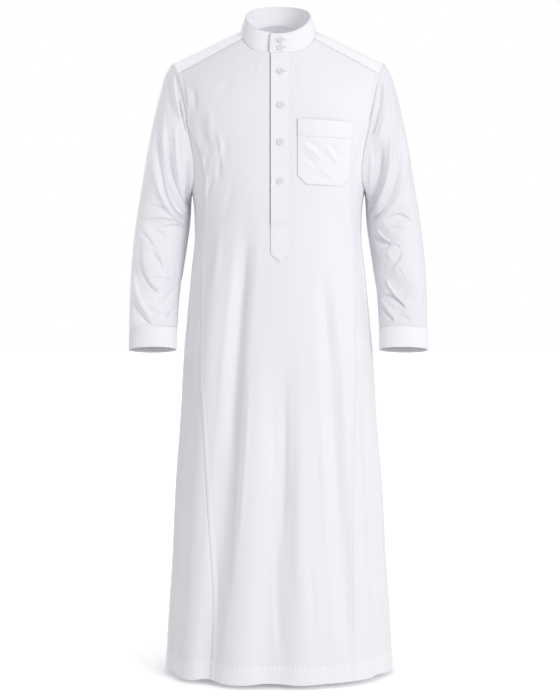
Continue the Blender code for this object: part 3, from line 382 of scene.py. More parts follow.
def front_x(column, z):
    """Where a column of the front panel, named by its x at the chest, lies at this height."""
    size = np.abs(column)
    seam_room = edge_half(z) - RIGID_CENTRE
    narrowed = RIGID_CENTRE + (size - RIGID_CENTRE) * seam_room / (FRONT_HALF - RIGID_CENTRE)
    return np.sign(column) * np.where(size < RIGID_CENTRE, size, narrowed) + edge_drift(z)


def spaced(length, first, most, growth=1.22, ends="both"):
    """Distances from 0 to `length`: steps grow from `first` at the fine ends to `most`."""
    reach = length / 2 if ends == "both" else length
    steps = [0.0]
    step = first
    while steps[-1] < reach:
        steps.append(steps[-1] + step)
        step = min(step * growth, most)
    half = np.array(steps) * reach / steps[-1]
    if ends == "both":
        return np.concatenate([half, length - half[-2::-1]])
    return length - half[::-1] if ends == "last" else half


def grid_normals(points):
    """Outward directions of a grid whose rows run down and whose columns run to the wearer's left."""
    down = np.gradient(points, axis=0)
    across = np.gradient(points, axis=1)
    return unit(np.cross(down, across))


def crease_shift(points, line, out, half, height, lean, crisp, fades):
    """How far one crease along a line moves points: 0 beyond its width and past its ends."""
    reach = half.max() * (1 + abs(lean))
    near = np.all((points > line.min(0) - reach) & (points < line.max(0) + reach), axis=-1)
    shift = np.zeros(points.shape[:-1])
    if not near.any():
        return shift
    tangent = unit(np.gradient(line, axis=0))
    side = unit(np.cross(out, tangent))
    step = np.linalg.norm(np.gradient(line, axis=0), axis=1)
    spots = points[near]
    nearest = np.linalg.norm(spots[:, None] - line, axis=-1).argmin(axis=1)
    along = np.sum((spots - line[nearest]) * tangent[nearest], axis=1)
    place = np.clip(nearest + along / step[nearest], 0, len(line) - 1.001)
    knot = place.astype(int)
    rest = (place - knot)[:, None]
    offset = spots - line[knot] * (1 - rest) - line[knot + 1] * rest
    part = place / (len(line) - 1)
    wide = half[0] + (half[1] - half[0]) * part
    away = np.sum(offset * (side[knot] * (1 - rest) + side[knot + 1] * rest), axis=1) / wide
    away = away / np.where(away < 0, 1 - lean, 1 + lean)
    profile = (1 - crisp) * bump(away) + crisp * np.clip(1 - np.abs(away), 0, 1) ** 2
    strength = ease(part / fades[0]) * ease((1 - part) / fades[1])
    shift[near] = height * profile * strength * (np.linalg.norm(offset, axis=1) < 2 * reach)
    return shift


CREASE_POINTS = 25  # along the line of each crease


def bowed(first, last, bow):
    """Points on a line between two places, bowed sideways in the middle."""
    part = np.linspace(0, 1, CREASE_POINTS)
    way = np.subtract(last, first)
    sideways = np.array([-way[1], way[0]]) / np.linalg.norm(way)
    return first + way * part[:, None] + sideways * bow * np.sin(math.pi * part)[:, None]


def body_creases(points):
    """Every smaller crease of the body at these points."""
    total = np.zeros(points.shape[:-1])
    for table, in_front in ((FRONT_CREASES, True), (BACK_CREASES, False)):
        for row in zip(*table.values()):
            place_a, drop_a, place_b, drop_b, bow, half_a, half_b, height, lean, crisp, fade_a, fade_b = row
            if in_front:
                places = bowed((place_a / 1000, -drop_a / 1000), (place_b / 1000, -drop_b / 1000), bow / 1000)
                turn, z = turn_at(places[:, 0], places[:, 1]), places[:, 1]
            else:
                arm = 0.18  # metres from the middle, to lay degrees out in metres
                flat_a = (math.radians(place_a) * arm, -drop_a / 1000)
                flat_b = (math.radians(place_b) * arm, -drop_b / 1000)
                places = bowed(flat_a, flat_b, bow / 1000)
                turn, z = np.degrees(places[:, 0] / arm), places[:, 1]
            line, out = body(turn, z)
            half = np.array([half_a, half_b]) / 1000
            total += crease_shift(points, line, out, half, height / 1000, lean, crisp, (fade_a, fade_b))
    return total


DRAPE_RANDOM = np.random.default_rng(11)
DRAPE_WAVES = [
    (
        np.array([math.cos(a) * DRAPE_RANDOM.uniform(50, 105), math.sin(a) * DRAPE_RANDOM.uniform(50, 105),
                  DRAPE_RANDOM.uniform(-16, 16)]),
        DRAPE_RANDOM.uniform(0, 2 * math.pi),
        DRAPE_RANDOM.uniform(0.5, 1.0),
    )
    for a in DRAPE_RANDOM.uniform(0, math.pi, 9)
]  # fmt: skip


def drape(points, height):
    """A faint, even unevenness of hanging cloth, the same on both sides of a seam."""
    total = np.zeros(points.shape[:-1])
    for reach, start, share in DRAPE_WAVES:
        total += share * np.sin(points @ reach + start)
    return height * total / len(DRAPE_WAVES) ** 0.5


def puckers(along, away, pitch, height, reach, start=0.0):
    """Small gathers that a row of stitching draws up, slanting away from it and fading."""
    wander = 1.1 * np.sin(along * 2 * math.pi / (pitch * 4.3) + start) + 0.7 * np.sin(along * 37 + 2 * start)
    uneven = 0.65 + 0.35 * np.sin(along * 2 * math.pi / (pitch * 6.1) + 3 * start)
    gathers = np.sin(2 * math.pi * (along + 0.35 * away) / pitch + wander)
    return height * uneven * gathers * np.exp(-away / reach)


def lapped(edge):
    """Relief of a piece near an edge that is lapped over its neighbour and topstitched."""
    ridge = LAP_HEIGHT * (1 - ease((edge - LAP + 0.0012) / 0.0030))
    rolled = -0.0007 * (1 - ease(edge / 0.0014))
    sewn = -0.00044 * bump((edge - LAP_STITCH) / 0.0013)
    return ridge + rolled + sewn


def tucked(edge):
    """Relief of the piece beneath: it dips before the seam and runs on under the lap."""
    return -0.0010 * (1 - ease((edge - 0.0004) / 0.0030))


def from_hem(above):
    """Relief of the sewn hem: a dent along its stitching, and a slightly fuller band below."""
    sewn = -0.0008 * bump((above - TURN_UP) / 0.0022)
    return sewn + 0.0008 * (1 - ease((above - TURN_UP + 0.004) / 0.004))


def hem_cloth(above):
    """The cloth's thickness: doubled within the turned-up band."""
    return POPLIN + POPLIN * (above < TURN_UP + 0.0005)


def lengths(points, axis):
    """Distance along a grid's rows or columns from their first point."""
    step = np.linalg.norm(np.diff(points, axis=axis), axis=-1)
    return np.insert(np.cumsum(step, axis=axis), 0, 0, axis=axis)


def shell(name, outer, cloth, material, keep=None, out=None, ring=False):
    """A closed thin shell under a grid of outer points, with its own map in metres along the cloth. In a
    ring the last column lies on the first, and the two are merged."""
    rows, columns = outer.shape[:2]
    out = grid_normals(outer) if out is None else out
    inner = outer - out * np.broadcast_to(cloth, (rows, columns))[..., None]
    index = np.arange(rows * columns).reshape(rows, columns)
    a, b, c, d = index[:-1, :-1], index[1:, :-1], index[1:, 1:], index[:-1, 1:]
    keep = np.ones(a.shape, bool) if keep is None else keep
    around = np.pad(keep, 1)
    quads = np.stack([a, b, c, d], axis=-1)[keep]
    faces = [quads, quads[:, ::-1] + index.size]
    for first, second, beside in (
        (a, b, around[1:-1, :-2]), (b, c, around[2:, 1:-1]),
        (c, d, around[1:-1, 2:]), (d, a, around[:-2, 1:-1]),
    ):  # fmt: skip
        edge = keep & ~beside
        if ring and (first is a) == (second is b) and first is not b:
            edge[:, [0, -1]] = False
        near, far = first[edge], second[edge]
        faces.append(np.stack([far, near, near + index.size, far + index.size], axis=-1))
    corners = np.concatenate(faces)
    points = np.concatenate([outer.reshape(-1, 3), inner.reshape(-1, 3)])
    middle = columns // 2
    across = lengths(outer, 1) - lengths(outer, 1)[:, middle : middle + 1]
    down = np.broadcast_to(lengths(outer, 0)[:, middle : middle + 1], across.shape)
    flat = np.stack([across, -down], axis=-1).reshape(-1, 2)
    mesh = bpy.data.meshes.new(name)
    mesh.vertices.add(len(points))
    mesh.vertices.foreach_set("co", points.astype(np.float32).ravel())
    mesh.loops.add(corners.size)
    mesh.loops.foreach_set("vertex_index", corners.astype(np.int32).ravel())
    mesh.polygons.add(len(corners))
    mesh.polygons.foreach_set("loop_start", np.arange(0, corners.size, 4, dtype=np.int32))
    mesh.update(calc_edges=True)
    layers = np.broadcast_to(cloth, (rows, columns)).ravel() / POPLIN
    doubled = mesh.attributes.new("layers", "FLOAT", "POINT")
    doubled.data.foreach_set("value", np.concatenate([layers, layers]).astype(np.float32))
    layer = mesh.uv_layers.new(name="cloth")
    layer.data.foreach_set("uv", np.concatenate([flat, flat])[corners.ravel()].astype(np.float32).ravel())
    mesh.validate()
    if ring:
        joined = bmesh.new()
        joined.from_mesh(mesh)
        bmesh.ops.remove_doubles(joined, verts=joined.verts, dist=1e-6)
        joined.to_mesh(mesh)
        joined.free()
    mesh.shade_smooth()
    mesh.set_sharp_from_angle(angle=math.radians(60))
    mesh.materials.append(material)
    piece = bpy.data.objects.new(name, mesh)
    bpy.context.scene.collection.objects.link(piece)
    return piece


def linear(hex_colour):
    """A linear RGBA from an sRGB hex colour."""
    channels = [int(hex_colour[i : i + 2], 16) / 255 for i in (0, 2, 4)]
    return [c / 12.92 if c <= 0.04045 else ((c + 0.055) / 1.055) ** 2.4 for c in channels] + [1.0]


def add_node(tree, kind, inputs=(), **settings):
    """Adds a node; `inputs` gives a socket's name or number its value, or the output that feeds it."""
    node = tree.nodes.new(kind)
    for name, value in settings.items():
        setattr(node, name, value)
    for socket, value in dict(inputs).items():
        if isinstance(value, bpy.types.NodeSocket):
            tree.links.new(value, node.inputs[socket])
        else:
            node.inputs[socket].default_value = value
    return node


RIB = 0.0012  # width at which the weave is drawn
RIB_RELIEF = 0.00006


def poplin(name, colour):
    """Cotton-rich poplin, mercerised and pressed: an even white with a soft, low sheen and a rib so fine
    that it only breaks up the light. Its threads are 0.25 mm apart; the rib is drawn 1.2 mm wide so that
    it can show at all, and a slow unevenness of the yarn shades it."""
    material = bpy.data.materials.new(name)
    material.use_nodes = True
    tree = material.node_tree
    shader = tree.nodes["Principled BSDF"]
    along = add_node(tree, "ShaderNodeUVMap", uv_map="cloth")
    warp, weft = (
        add_node(tree, "ShaderNodeTexWave", {"Vector": along.outputs[0], "Scale": 1 / RIB / 3.18,
                 "Distortion": 0.6, "Detail": 1.0}, wave_type="BANDS", bands_direction=way)
        for way in "XY"
    )  # fmt: skip
    woven = add_node(tree, "ShaderNodeMath", {0: warp.outputs["Fac"], 1: weft.outputs["Fac"]},
                     operation="MULTIPLY")  # fmt: skip
    yarn = add_node(tree, "ShaderNodeTexNoise", {"Vector": along.outputs[0], "Scale": 260.0, "Detail": 3.0})
    uneven = add_node(tree, "ShaderNodeMath", {0: woven.outputs[0], 1: yarn.outputs["Fac"]}, operation="ADD")
    raised = add_node(tree, "ShaderNodeBump", {"Height": uneven.outputs[0], "Strength": 0.35,
                      "Distance": RIB_RELIEF})  # fmt: skip
    tree.links.new(raised.outputs[0], shader.inputs["Normal"])
    place = add_node(tree, "ShaderNodeTexCoord")
    cloud = add_node(tree, "ShaderNodeTexNoise", {"Vector": place.outputs["Object"], "Scale": 5.0,
                     "Detail": 3.0})  # fmt: skip
    slub = add_node(tree, "ShaderNodeMath", {0: cloud.outputs["Fac"], 1: yarn.outputs["Fac"]},
                    operation="ADD")  # fmt: skip
    tone = add_node(tree, "ShaderNodeMapRange", {"Value": slub.outputs[0], "From Min": 0.6, "From Max": 1.4,
                    "To Min": 0.0, "To Max": 1.0})  # fmt: skip
    layers = add_node(tree, "ShaderNodeAttribute", attribute_name="layers")
    opaque = add_node(tree, "ShaderNodeMapRange", {"Value": layers.outputs["Fac"], "From Min": 1.0,
                      "From Max": 2.0})  # fmt: skip
    white = add_node(tree, "ShaderNodeMix", {0: opaque.outputs[0], 6: linear(colour), 7: linear(TWO_LAYERS)},
                     data_type="RGBA")  # fmt: skip
    duller = add_node(tree, "ShaderNodeMix", {0: 1.0, 6: white.outputs[2], 7: (0.975, 0.975, 0.975, 1.0)},
                      data_type="RGBA", blend_type="MULTIPLY")  # fmt: skip
    mixed = add_node(tree, "ShaderNodeMix", {0: tone.outputs[0], 6: duller.outputs[2], 7: white.outputs[2]},
                     data_type="RGBA")  # fmt: skip
    tree.links.new(mixed.outputs[2], shader.inputs["Base Color"])
    shader.inputs["Roughness"].default_value = 0.62
    shader.inputs["Specular IOR Level"].default_value = 0.35
    shader.inputs["Sheen Weight"].default_value = 0.20
    shader.inputs["Sheen Roughness"].default_value = 0.45
    return material


SEWING = {}  # the lines of stitching that each material's thread is sewn along, filled piece by piece


def sew_along(thread, points):
    """Remembers a line of stitching."""
    SEWING.setdefault(thread, []).append(np.asarray(points))


STITCH_LIFT = 0.00015  # of a line of stitching above the cloth


def line_on(outer, rows, columns):
    """Points on a grid at these part-way rows and columns, lifted off the cloth."""
    rows, columns = np.broadcast_arrays(np.asarray(rows, float), np.asarray(columns, float))
    normal = grid_normals(outer)
    low_row = np.clip(rows.astype(int), 0, outer.shape[0] - 2)
    low_column = np.clip(columns.astype(int), 0, outer.shape[1] - 2)
    down, across = (rows - low_row)[:, None], (columns - low_column)[:, None]

    def between(grid):
        upper = grid[low_row, low_column] * (1 - across) + grid[low_row, low_column + 1] * across
        lower = grid[low_row + 1, low_column] * (1 - across) + grid[low_row + 1, low_column + 1] * across
        return upper * (1 - down) + lower * down

    return between(outer) + between(normal) * STITCH_LIFT


def beside_edge(outer, column, distance, rows=None):
    """A line of stitching this far in from the grid's first or last column."""
    away = lengths(outer, 1)
    away = away if column == 0 else away[:, -1:] - away
    rows = np.arange(outer.shape[0]) if rows is None else rows
    count = outer.shape[1]
    at = []
    for row in rows:
        if column == 0:
            at.append(np.interp(distance, away[row], np.arange(count)))
        else:
            at.append(np.interp(distance, away[row][::-1], np.arange(count)[::-1]))
    return line_on(outer, rows, at)


def below_edge(outer, row, distance, columns=None):
    """A line of stitching this far in from the grid's first or last row."""
    turned = outer.transpose(1, 0, 2)
    away = lengths(turned, 1)
    away = away if row == 0 else away[:, -1:] - away
    columns = np.arange(outer.shape[1]) if columns is None else columns
    count = outer.shape[0]
    at = []
    for column in columns:
        if row == 0:
            at.append(np.interp(distance, away[column], np.arange(count)))
        else:
            at.append(np.interp(distance, away[column][::-1], np.arange(count)[::-1]))
    return line_on(outer, at, columns)


def body_grid(turn, z, relief):
    """The grid of a body panel from its turns and heights, with its creases and this added relief."""
    points, normal = body(turn, z)
    shift = body_creases(points) + drape(points, 0.00035) + relief
    return points + normal * shift[..., None]


def sunk_by(left_of_placket, z):
    """How far the front lies below the placket: its opening's folded edge turns down along the slit."""
    still_open = ease((SLIT_DROP + 0.008 + z) / 0.016)
    past_gap = ease((left_of_placket + OPEN_GAP) / 0.0013)
    across = past_gap * ease((PLACKET_WIDTH - 0.004 - left_of_placket) / 0.006)
    return OPEN_DEPTH * across * (0.10 + 0.90 * still_open) * ease((0.488 + z) / 0.016)


# Columns are named by x at the chest, and are closest at the edges and beside the placket.
fine_near = np.concatenate([
    PLACKET_LEFT + np.linspace(-0.0040, 0.0020, 13),
    PLACKET_RIGHT + np.linspace(-0.0030, 0.0050, 9),
    SLIT,
])  # fmt: skip
wide_apart = spaced(2 * FRONT_HALF, 0.0009, 0.0037, 1.16) - FRONT_HALF
apart = np.abs(wide_apart[:, None] - fine_near).min(axis=1)
front_columns = np.unique(np.concatenate([wide_apart[apart > 0.0007], fine_near]))
upper_part = spaced(0.13, 0.0012, 0.0036, ends="first")[:-1] / 0.13
lower_part = spaced(1.17, 0.0012, 0.0046, ends="last") / 1.17
front_edge_top = front_top(front_columns) + UNDERLAP  # sewn on beneath the yoke and into the collar
front_low = hem_height(turn_at(front_x(front_columns, -HEM_DROP), -HEM_DROP))
front_z = np.concatenate([
    front_edge_top - (front_edge_top + BRANCH_DROP) * upper_part[:, None],
    -BRANCH_DROP + (front_low + BRANCH_DROP) * lower_part[:, None],
])  # fmt: skip
front_across = front_x(front_columns[None], front_z)
from_side = lengths(body(turn_at(front_across, front_z), front_z)[0], 1)
to_side = np.minimum(from_side, from_side[:, -1:] - from_side)
above_hem = front_z - front_low
below_top = front_edge_top - front_z
on_slope = np.abs(front_columns) > SHOULDER_SEAM_NECK_X + 0.001
left_of_placket = front_columns - PLACKET_LEFT
front_relief = (
    lapped(to_side) * (1 + 0.6 * ease((front_z + 0.150) / 0.030))
    + puckers(-front_z, to_side, 0.011, 0.00028, 0.011, 0.4)
    + from_hem(above_hem)
    + puckers(front_across, np.abs(above_hem - TURN_UP + 0.002), 0.0105, 0.00075, 0.009, 1.1)
    + np.where(on_slope, 1, 0.8) * tucked(below_top - UNDERLAP)
    - sunk_by(left_of_placket, front_z)
)
front_points = body_grid(turn_at(front_across, front_z), front_z, front_relief)
slit_column = int(np.argmin(np.abs(front_columns - SLIT[0])))
front_keep = np.ones((len(front_z) - 1, len(front_columns) - 1), bool)
front_keep[front_z[:-1, slit_column] > -SLIT_DROP, slit_column] = False

body_poplin = poplin("poplin_body", POPLIN_WHITE)
front_cloth = shell("front_cloth", front_points, hem_cloth(above_hem), body_poplin, front_keep)
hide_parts("front_panel")
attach(front_cloth, "root")
for edge_column in (0, -1):
    sew_along("body", beside_edge(front_points, edge_column, LAP_STITCH, range(6, len(front_z))))

# ================================================================ back panel
# The matching length behind, of the same poplin. A straight seam joins it to the yoke, which laps over
# its top edge, and its sides are lapped over the side panels as the front's are.

YOKE_BACK_DROP = 0.100

back_part = spaced(2 * FRONT_HALF, 0.0010, 0.0052, 1.18) / FRONT_HALF - 1
back_upper = spaced(0.10, 0.0010, 0.0042, ends="first")[:-1] / 0.10
back_lower = spaced(1.17, 0.0012, 0.0056, ends="last") / 1.17
back_low = hem_height(turn_at(back_part * edge_half(-HEM_DROP), -HEM_DROP, front=False))
back_rise = -YOKE_BACK_DROP + UNDERLAP
back_z = np.concatenate([
    back_rise - (back_rise + BRANCH_DROP) * back_upper[:, None] + 0 * back_part,
    -BRANCH_DROP + (back_low + BRANCH_DROP) * back_lower[:, None],
])  # fmt: skip
back_turn = turn_at(back_part * edge_half(back_z), back_z, front=False)
from_side = lengths(body(back_turn, back_z)[0], 1)
to_side = np.minimum(from_side, from_side[:, -1:] - from_side)
above_hem = back_z - back_low
back_relief = (
    lapped(to_side)
    + puckers(-back_z, to_side, 0.012, 0.00026, 0.011, 2.2)
    + from_hem(above_hem)
    + puckers(from_side, np.abs(above_hem - TURN_UP + 0.002), 0.0105, 0.00070, 0.009, 0.3)
    + tucked(-back_z - YOKE_BACK_DROP)
    + puckers(from_side, -back_z - YOKE_BACK_DROP + 0.004, 0.013, 0.00030, 0.016, 4.0)
)
back_points = body_grid(back_turn, back_z, back_relief)[:, ::-1]
back_cloth = shell("back_cloth", back_points, hem_cloth(above_hem)[:, ::-1], body_poplin)
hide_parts("back_panel")
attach(back_cloth, "root")
for edge_column in (0, -1):
    sew_along("body", beside_edge(back_points, edge_column, LAP_STITCH, range(2, len(back_z))))

# ================================================================ yoke
# A shaped piece over both shoulders, from the seam across the back to a little in front of the shoulder
# line. Its edges are lapped over the front, the back and the sleeves and topstitched close to the fold.

YOKE_END = read_table(
    "over half",
    (-0.377, 0.2115),
    (-0.150, 0.2215),
    (0.000, 0.2260),
    (0.250, 0.2225),
    (0.500, 0.2150),
    (0.714, 0.2085),
)
YOKE_STITCH = 0.0022


def over_at(x, z, front):
    """The `over` of the point with this x and height, in front of the shoulder line or behind it."""
    fall = FRONT_ARCH if front else BACK_ARCH
    drop = (shoulder_line(x) - z) / fall
    over = np.arccos(np.clip(1 - drop, 0, 1)) / (math.pi / 2) + np.maximum(drop - 1, 0) / (math.pi / 2)
    return -over if front else over


def shoulder_normal(x, over):
    """The outward direction of the shoulders' surface."""
    step = 0.004
    across = over_shoulder(x + step, over) - over_shoulder(x - step, over)
    backwards = over_shoulder(x, over + step) - over_shoulder(x, over - step)
    return unit(np.cross(across, backwards))


shoulder_run = spaced(0.14, 0.004, 0.0034, ends="last")
shoulder_x = SHOULDER_SEAM_NECK_X + (FRONT_HALF - SHOULDER_SEAM_NECK_X) * shoulder_run / 0.14
neck_degrees = np.linspace(NECK_SEAM_DEGREES, 180, 34)[1:]
neck_x, neck_over = neckline(neck_degrees)
yoke_top_x = np.concatenate([neck_x[::-1], shoulder_x])
yoke_top_over = np.concatenate([neck_over[::-1], over_at(shoulder_x, front_top(shoulder_x), True)])
yoke_part = np.concatenate([
    np.linspace(0, 0.5, len(neck_x), endpoint=False),
    0.5 + 0.5 * (shoulder_x - shoulder_x[0]) / (shoulder_x[-1] - shoulder_x[0]),
])  # fmt: skip
yoke_low_x = yoke_part * edge_half(-YOKE_BACK_DROP)
yoke_low_over = over_at(yoke_low_x, np.full(yoke_low_x.shape, -YOKE_BACK_DROP), False)
yoke_up = (spaced(0.16, 0.0010, 0.0042) / 0.16)[:, None]
yoke_x = yoke_low_x + (yoke_top_x - yoke_low_x) * yoke_up
yoke_over = yoke_low_over + (yoke_top_over - yoke_low_over) * yoke_up
yoke_end = smooth(YOKE_END, "over", "half", yoke_over[:, -1])
yoke_x += (yoke_end - yoke_x[:, -1])[:, None] * yoke_part**4
yoke_x[0], yoke_x[-1] = yoke_low_x, yoke_top_x
yoke_x = np.concatenate([-yoke_x[:, :0:-1], yoke_x], axis=1)
yoke_over = np.concatenate([yoke_over[:, :0:-1], yoke_over], axis=1)
yoke_bare, yoke_out = over_shoulder(yoke_x, yoke_over), shoulder_normal(yoke_x, yoke_over)
from_back = lengths(yoke_bare, 0)
to_front = from_back[-1:] - from_back
from_arm = lengths(yoke_bare, 1)
to_arm = np.minimum(from_arm, from_arm[:, -1:] - from_arm)
by_neck = np.abs(yoke_bare[-1, :, 0]) < SHOULDER_SEAM_NECK_X - 0.002
yoke_shift = (
    lapped(from_back)
    + np.where(by_neck, 0, lapped(to_front))
    + lapped(to_arm)
    + puckers(from_arm, from_back, 0.012, 0.00025, 0.010, 1.0)
    + puckers(from_arm, to_front, 0.010, 0.00012, 0.008, 2.0) * ~by_neck
    + drape(yoke_bare, 0.0004)
)
yoke_points = yoke_bare + yoke_out * yoke_shift[..., None]
yoke_cloth = shell("yoke_cloth", yoke_points, 2 * POPLIN, body_poplin)
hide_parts("yoke")
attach(yoke_cloth, "root")
on_shoulder = np.flatnonzero(~by_neck)
for shoulder in (on_shoulder[on_shoulder < len(by_neck) // 2], on_shoulder[on_shoulder > len(by_neck) // 2]):
    sew_along("body", below_edge(yoke_points, -1, YOKE_STITCH, shoulder))
sew_along("body", below_edge(yoke_points, 0, YOKE_STITCH))
for edge_column in (0, -1):
    sew_along("body", beside_edge(yoke_points, edge_column, YOKE_STITCH))

# ================================================================ side panels
# Four narrow panels of the same poplin flare the robe from under the arms to the hem. Front and back
# ones meet in the side seam, where the front edge stays open between two bar tacks as a pocket mouth.

SIDE_TURN = 75.0
SIDE_POCKET = (0.425, 0.615)
POCKET_MOUTH_RISE = 0.0026

# The lower armhole under the arm, in degrees round the body.
ARMHOLE = read_table(
    "turn drop",
    (57.5, 0.200),
    (58.3, 0.240),
    (60.1, 0.275),
    (65.2, 0.308),
    (73.0, 0.326),
    (82.0, 0.335),
    (90.0, 0.338),
    (98.0, 0.335),
    (107.0, 0.326),
    (115.0, 0.308),
    (120.0, 0.275),
    (122.0, 0.240),
    (122.5, 0.200),
)


def seam_turn(side, z, front):
    """Turn of the seam between a side panel and the front or back panel."""
    if front:
        return turn_at(side * edge_half(z) + edge_drift(z), z)
    return turn_at(side * edge_half(z), z, front=False)


def armhole_low(side, first_turn, last_turn, spots):
    """Turn and height at these distances, of a whole, along the armhole under the arm."""
    order = np.linspace(0, 1, 400)
    curve = {
        "at": np.arange(len(ARMHOLE["turn"])) / (len(ARMHOLE["turn"]) - 1),
        "turn": ARMHOLE["turn"],
        "drop": ARMHOLE["drop"],
    }
    turn, z = smooth(curve, "at", "turn", order), -smooth(curve, "at", "drop", order)
    inside = (turn >= first_turn - 1e-9) & (turn <= last_turn + 1e-9)
    turn, z = turn[inside], z[inside]
    length = np.concatenate([[0], np.cumsum(np.linalg.norm(np.diff(bare_body(turn, z), axis=0), axis=1))])
    even = length[-1] * np.asarray(spots)
    return side * np.interp(even, length, turn), np.interp(even, length, z)


def side_grid(side, front):
    """Turn and height of one half of a side panel, front edge first, without relief."""
    width = 0.085 if front else 0.150
    spots = spaced(width, 0.0009, 0.0042, 1.2) / width
    branch_turn = abs(float(seam_turn(side, np.float64(-BRANCH_DROP), front)))
    ends = (branch_turn, SIDE_TURN) if front else (SIDE_TURN, branch_turn)
    turn_top, z_top = armhole_low(side, *ends, spots)
    branch = 0 if front else -1
    turn_top[branch], z_top[branch] = side * branch_turn, -BRANCH_DROP
    turn_top[-1 if front else 0] = side * SIDE_TURN
    seam_top = seam_turn(side, z_top, front)
    with np.errstate(divide="ignore", invalid="ignore"):
        part = (turn_top - side * SIDE_TURN) / (seam_top - side * SIDE_TURN)
    part[branch] = 1.0
    hem_turn = side * SIDE_TURN + part * (seam_turn(side, np.float64(-HEM_DROP), front) - side * SIDE_TURN)
    bottom = hem_height(hem_turn)
    down = (spaced(1.10, 0.0010, 0.0056) / 1.10)[:, None]
    z = z_top + (bottom - z_top) * down
    turn = side * SIDE_TURN + part * (seam_turn(side, z, front) - side * SIDE_TURN)
    turn[0] = turn_top
    return turn, z, bottom


def run_under(turn, z, column, distance):
    """Adds a column past the grid's first or last one, this far on under the neighbour."""
    inner = 1 if column == 0 else -2
    edge = bare_body(turn[:, column], z[:, column])
    width = np.linalg.norm(edge - bare_body(turn[:, inner], z[:, inner]), axis=-1)
    past = turn[:, column] + (turn[:, column] - turn[:, inner]) * distance / np.maximum(width, 1e-5)
    new = [past[:, None], turn] if column == 0 else [turn, past[:, None]]
    heights = [z[:, :1], z] if column == 0 else [z, z[:, -1:]]
    return np.concatenate(new, axis=1), np.concatenate(heights, axis=1)


side_edges = {}
for side in (-1, 1):
    for front in (True, False):
        turn, z, bottom = side_grid(side, front)
        bare = bare_body(turn, z)
        from_first = lengths(bare, 1)
        from_last = from_first[:, -1:] - from_first
        to_panel, to_side_seam = (from_first, from_last) if front else (from_last, from_first)
        below_arm = z[0] - z
        above_hem = z - bottom
        across = from_first + 3 * side
        relief = (
            tucked(to_panel)
            + puckers(-z, to_panel + 0.002, 0.011, 0.00026, 0.009, 0.4)
            + from_hem(above_hem)
            + puckers(across, np.abs(above_hem - TURN_UP + 0.002), 0.0105, 0.00070, 0.009, 1.7 * side)
            + lapped(below_arm)
        )
        if front:
            middle, reach = sum(SIDE_POCKET) / 2, (SIDE_POCKET[1] - SIDE_POCKET[0]) / 2
            mouth = ease((reach + 0.004 - np.abs(-z - middle)) / 0.008) * ease((0.014 - to_side_seam) / 0.014)
            lip = POCKET_MOUTH_RISE * mouth * (0.6 + 0.4 * bump((-z - middle) / reach))
            relief += lapped(to_side_seam) + lip
        else:
            relief += tucked(to_side_seam)
            turn, z = run_under(turn, z, 0, UNDERLAP)
            relief = np.concatenate([relief[:, :1] - 0.0002, relief], axis=1)
        turn, z = run_under(turn, z, 0 if front else -1, UNDERLAP)
        beyond = relief[:, :1] if front else relief[:, -1:]
        relief = np.concatenate([beyond, relief] if front else [relief, beyond], axis=1)
        points = body_grid(turn, z, relief)
        bare_edge, edge_out = body(turn[0], z[0])
        side_edges[side, front] = (bare_edge, edge_out)
        above = z - z[-1]
        if side < 0:
            points, above = points[:, ::-1], above[:, ::-1]
        name = f"side_{'front' if front else 'back'}_{'left' if side > 0 else 'right'}"
        cloth = shell(name + "_cloth", points, hem_cloth(above), body_poplin)
        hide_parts(name)
        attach(cloth, "root")
        own_side_column = 0 if (side < 0) == front else -1
        sew_along("body", below_edge(points, 0, LAP_STITCH))
        if not front:
            continue
        # The side seam's edge is topstitched, and rows of stitching close the mouth above and below.
        sew_along("body", beside_edge(points, own_side_column, LAP_STITCH))
        heights = points[:, points.shape[1] // 2, 2]
        for tack in (SIDE_POCKET[0], SIDE_POCKET[0] + 0.0062, SIDE_POCKET[1], SIDE_POCKET[1] + 0.0050):
            row = np.interp(tack, -heights, np.arange(len(heights)))
            sew_along("body", line_on(points, row, np.arange(1.0, points.shape[1] - 3)))

# ================================================================ sleeves
# Each is one piece of the poplin, closed by a lapped seam under the arm and set into the armhole, where
# the body's edge is lapped over it. Its foot is drawn up a little into the cuff.

SLEEVE_POWER = 2.25
CAP_ROWS = 4.0
CREASE_SPREAD = 1.5
CREASE_STEPS = 60
SLEEVE_GATHER = 0.0085  # spacing of the small gathers above the cuff

SLEEVE = read_table(
    "out_x out_drop in_x in_drop mid_y depth bend",
    (0.2260, 0.0727, 0.1835, 0.338, 0.003, 0.080, 0),
    (0.2395, 0.0950, 0.1848, 0.345, 0.003, 0.079, 0),
    (0.2505, 0.1290, 0.1857, 0.352, 0.003, 0.077, 0),
    (0.2635, 0.1830, 0.1864, 0.360, 0.003, 0.073, 1),
    (0.2777, 0.2510, 0.1872, 0.370, 0.004, 0.069, 2),
    (0.2900, 0.3250, 0.1880, 0.386, 0.004, 0.065, 3),
    (0.3010, 0.3870, 0.1905, 0.414, 0.004, 0.062, 5),
    (0.3090, 0.4460, 0.1965, 0.456, 0.001, 0.060, 9),
    (0.3143, 0.5080, 0.2045, 0.508, -0.010, 0.057, 13),
    (0.3163, 0.5690, 0.2120, 0.563, -0.026, 0.051, 16),
    (0.3168, 0.6290, 0.2155, 0.627, -0.0435, 0.0365, 17),
)
LAST_ROW = len(SLEEVE["bend"]) - 1

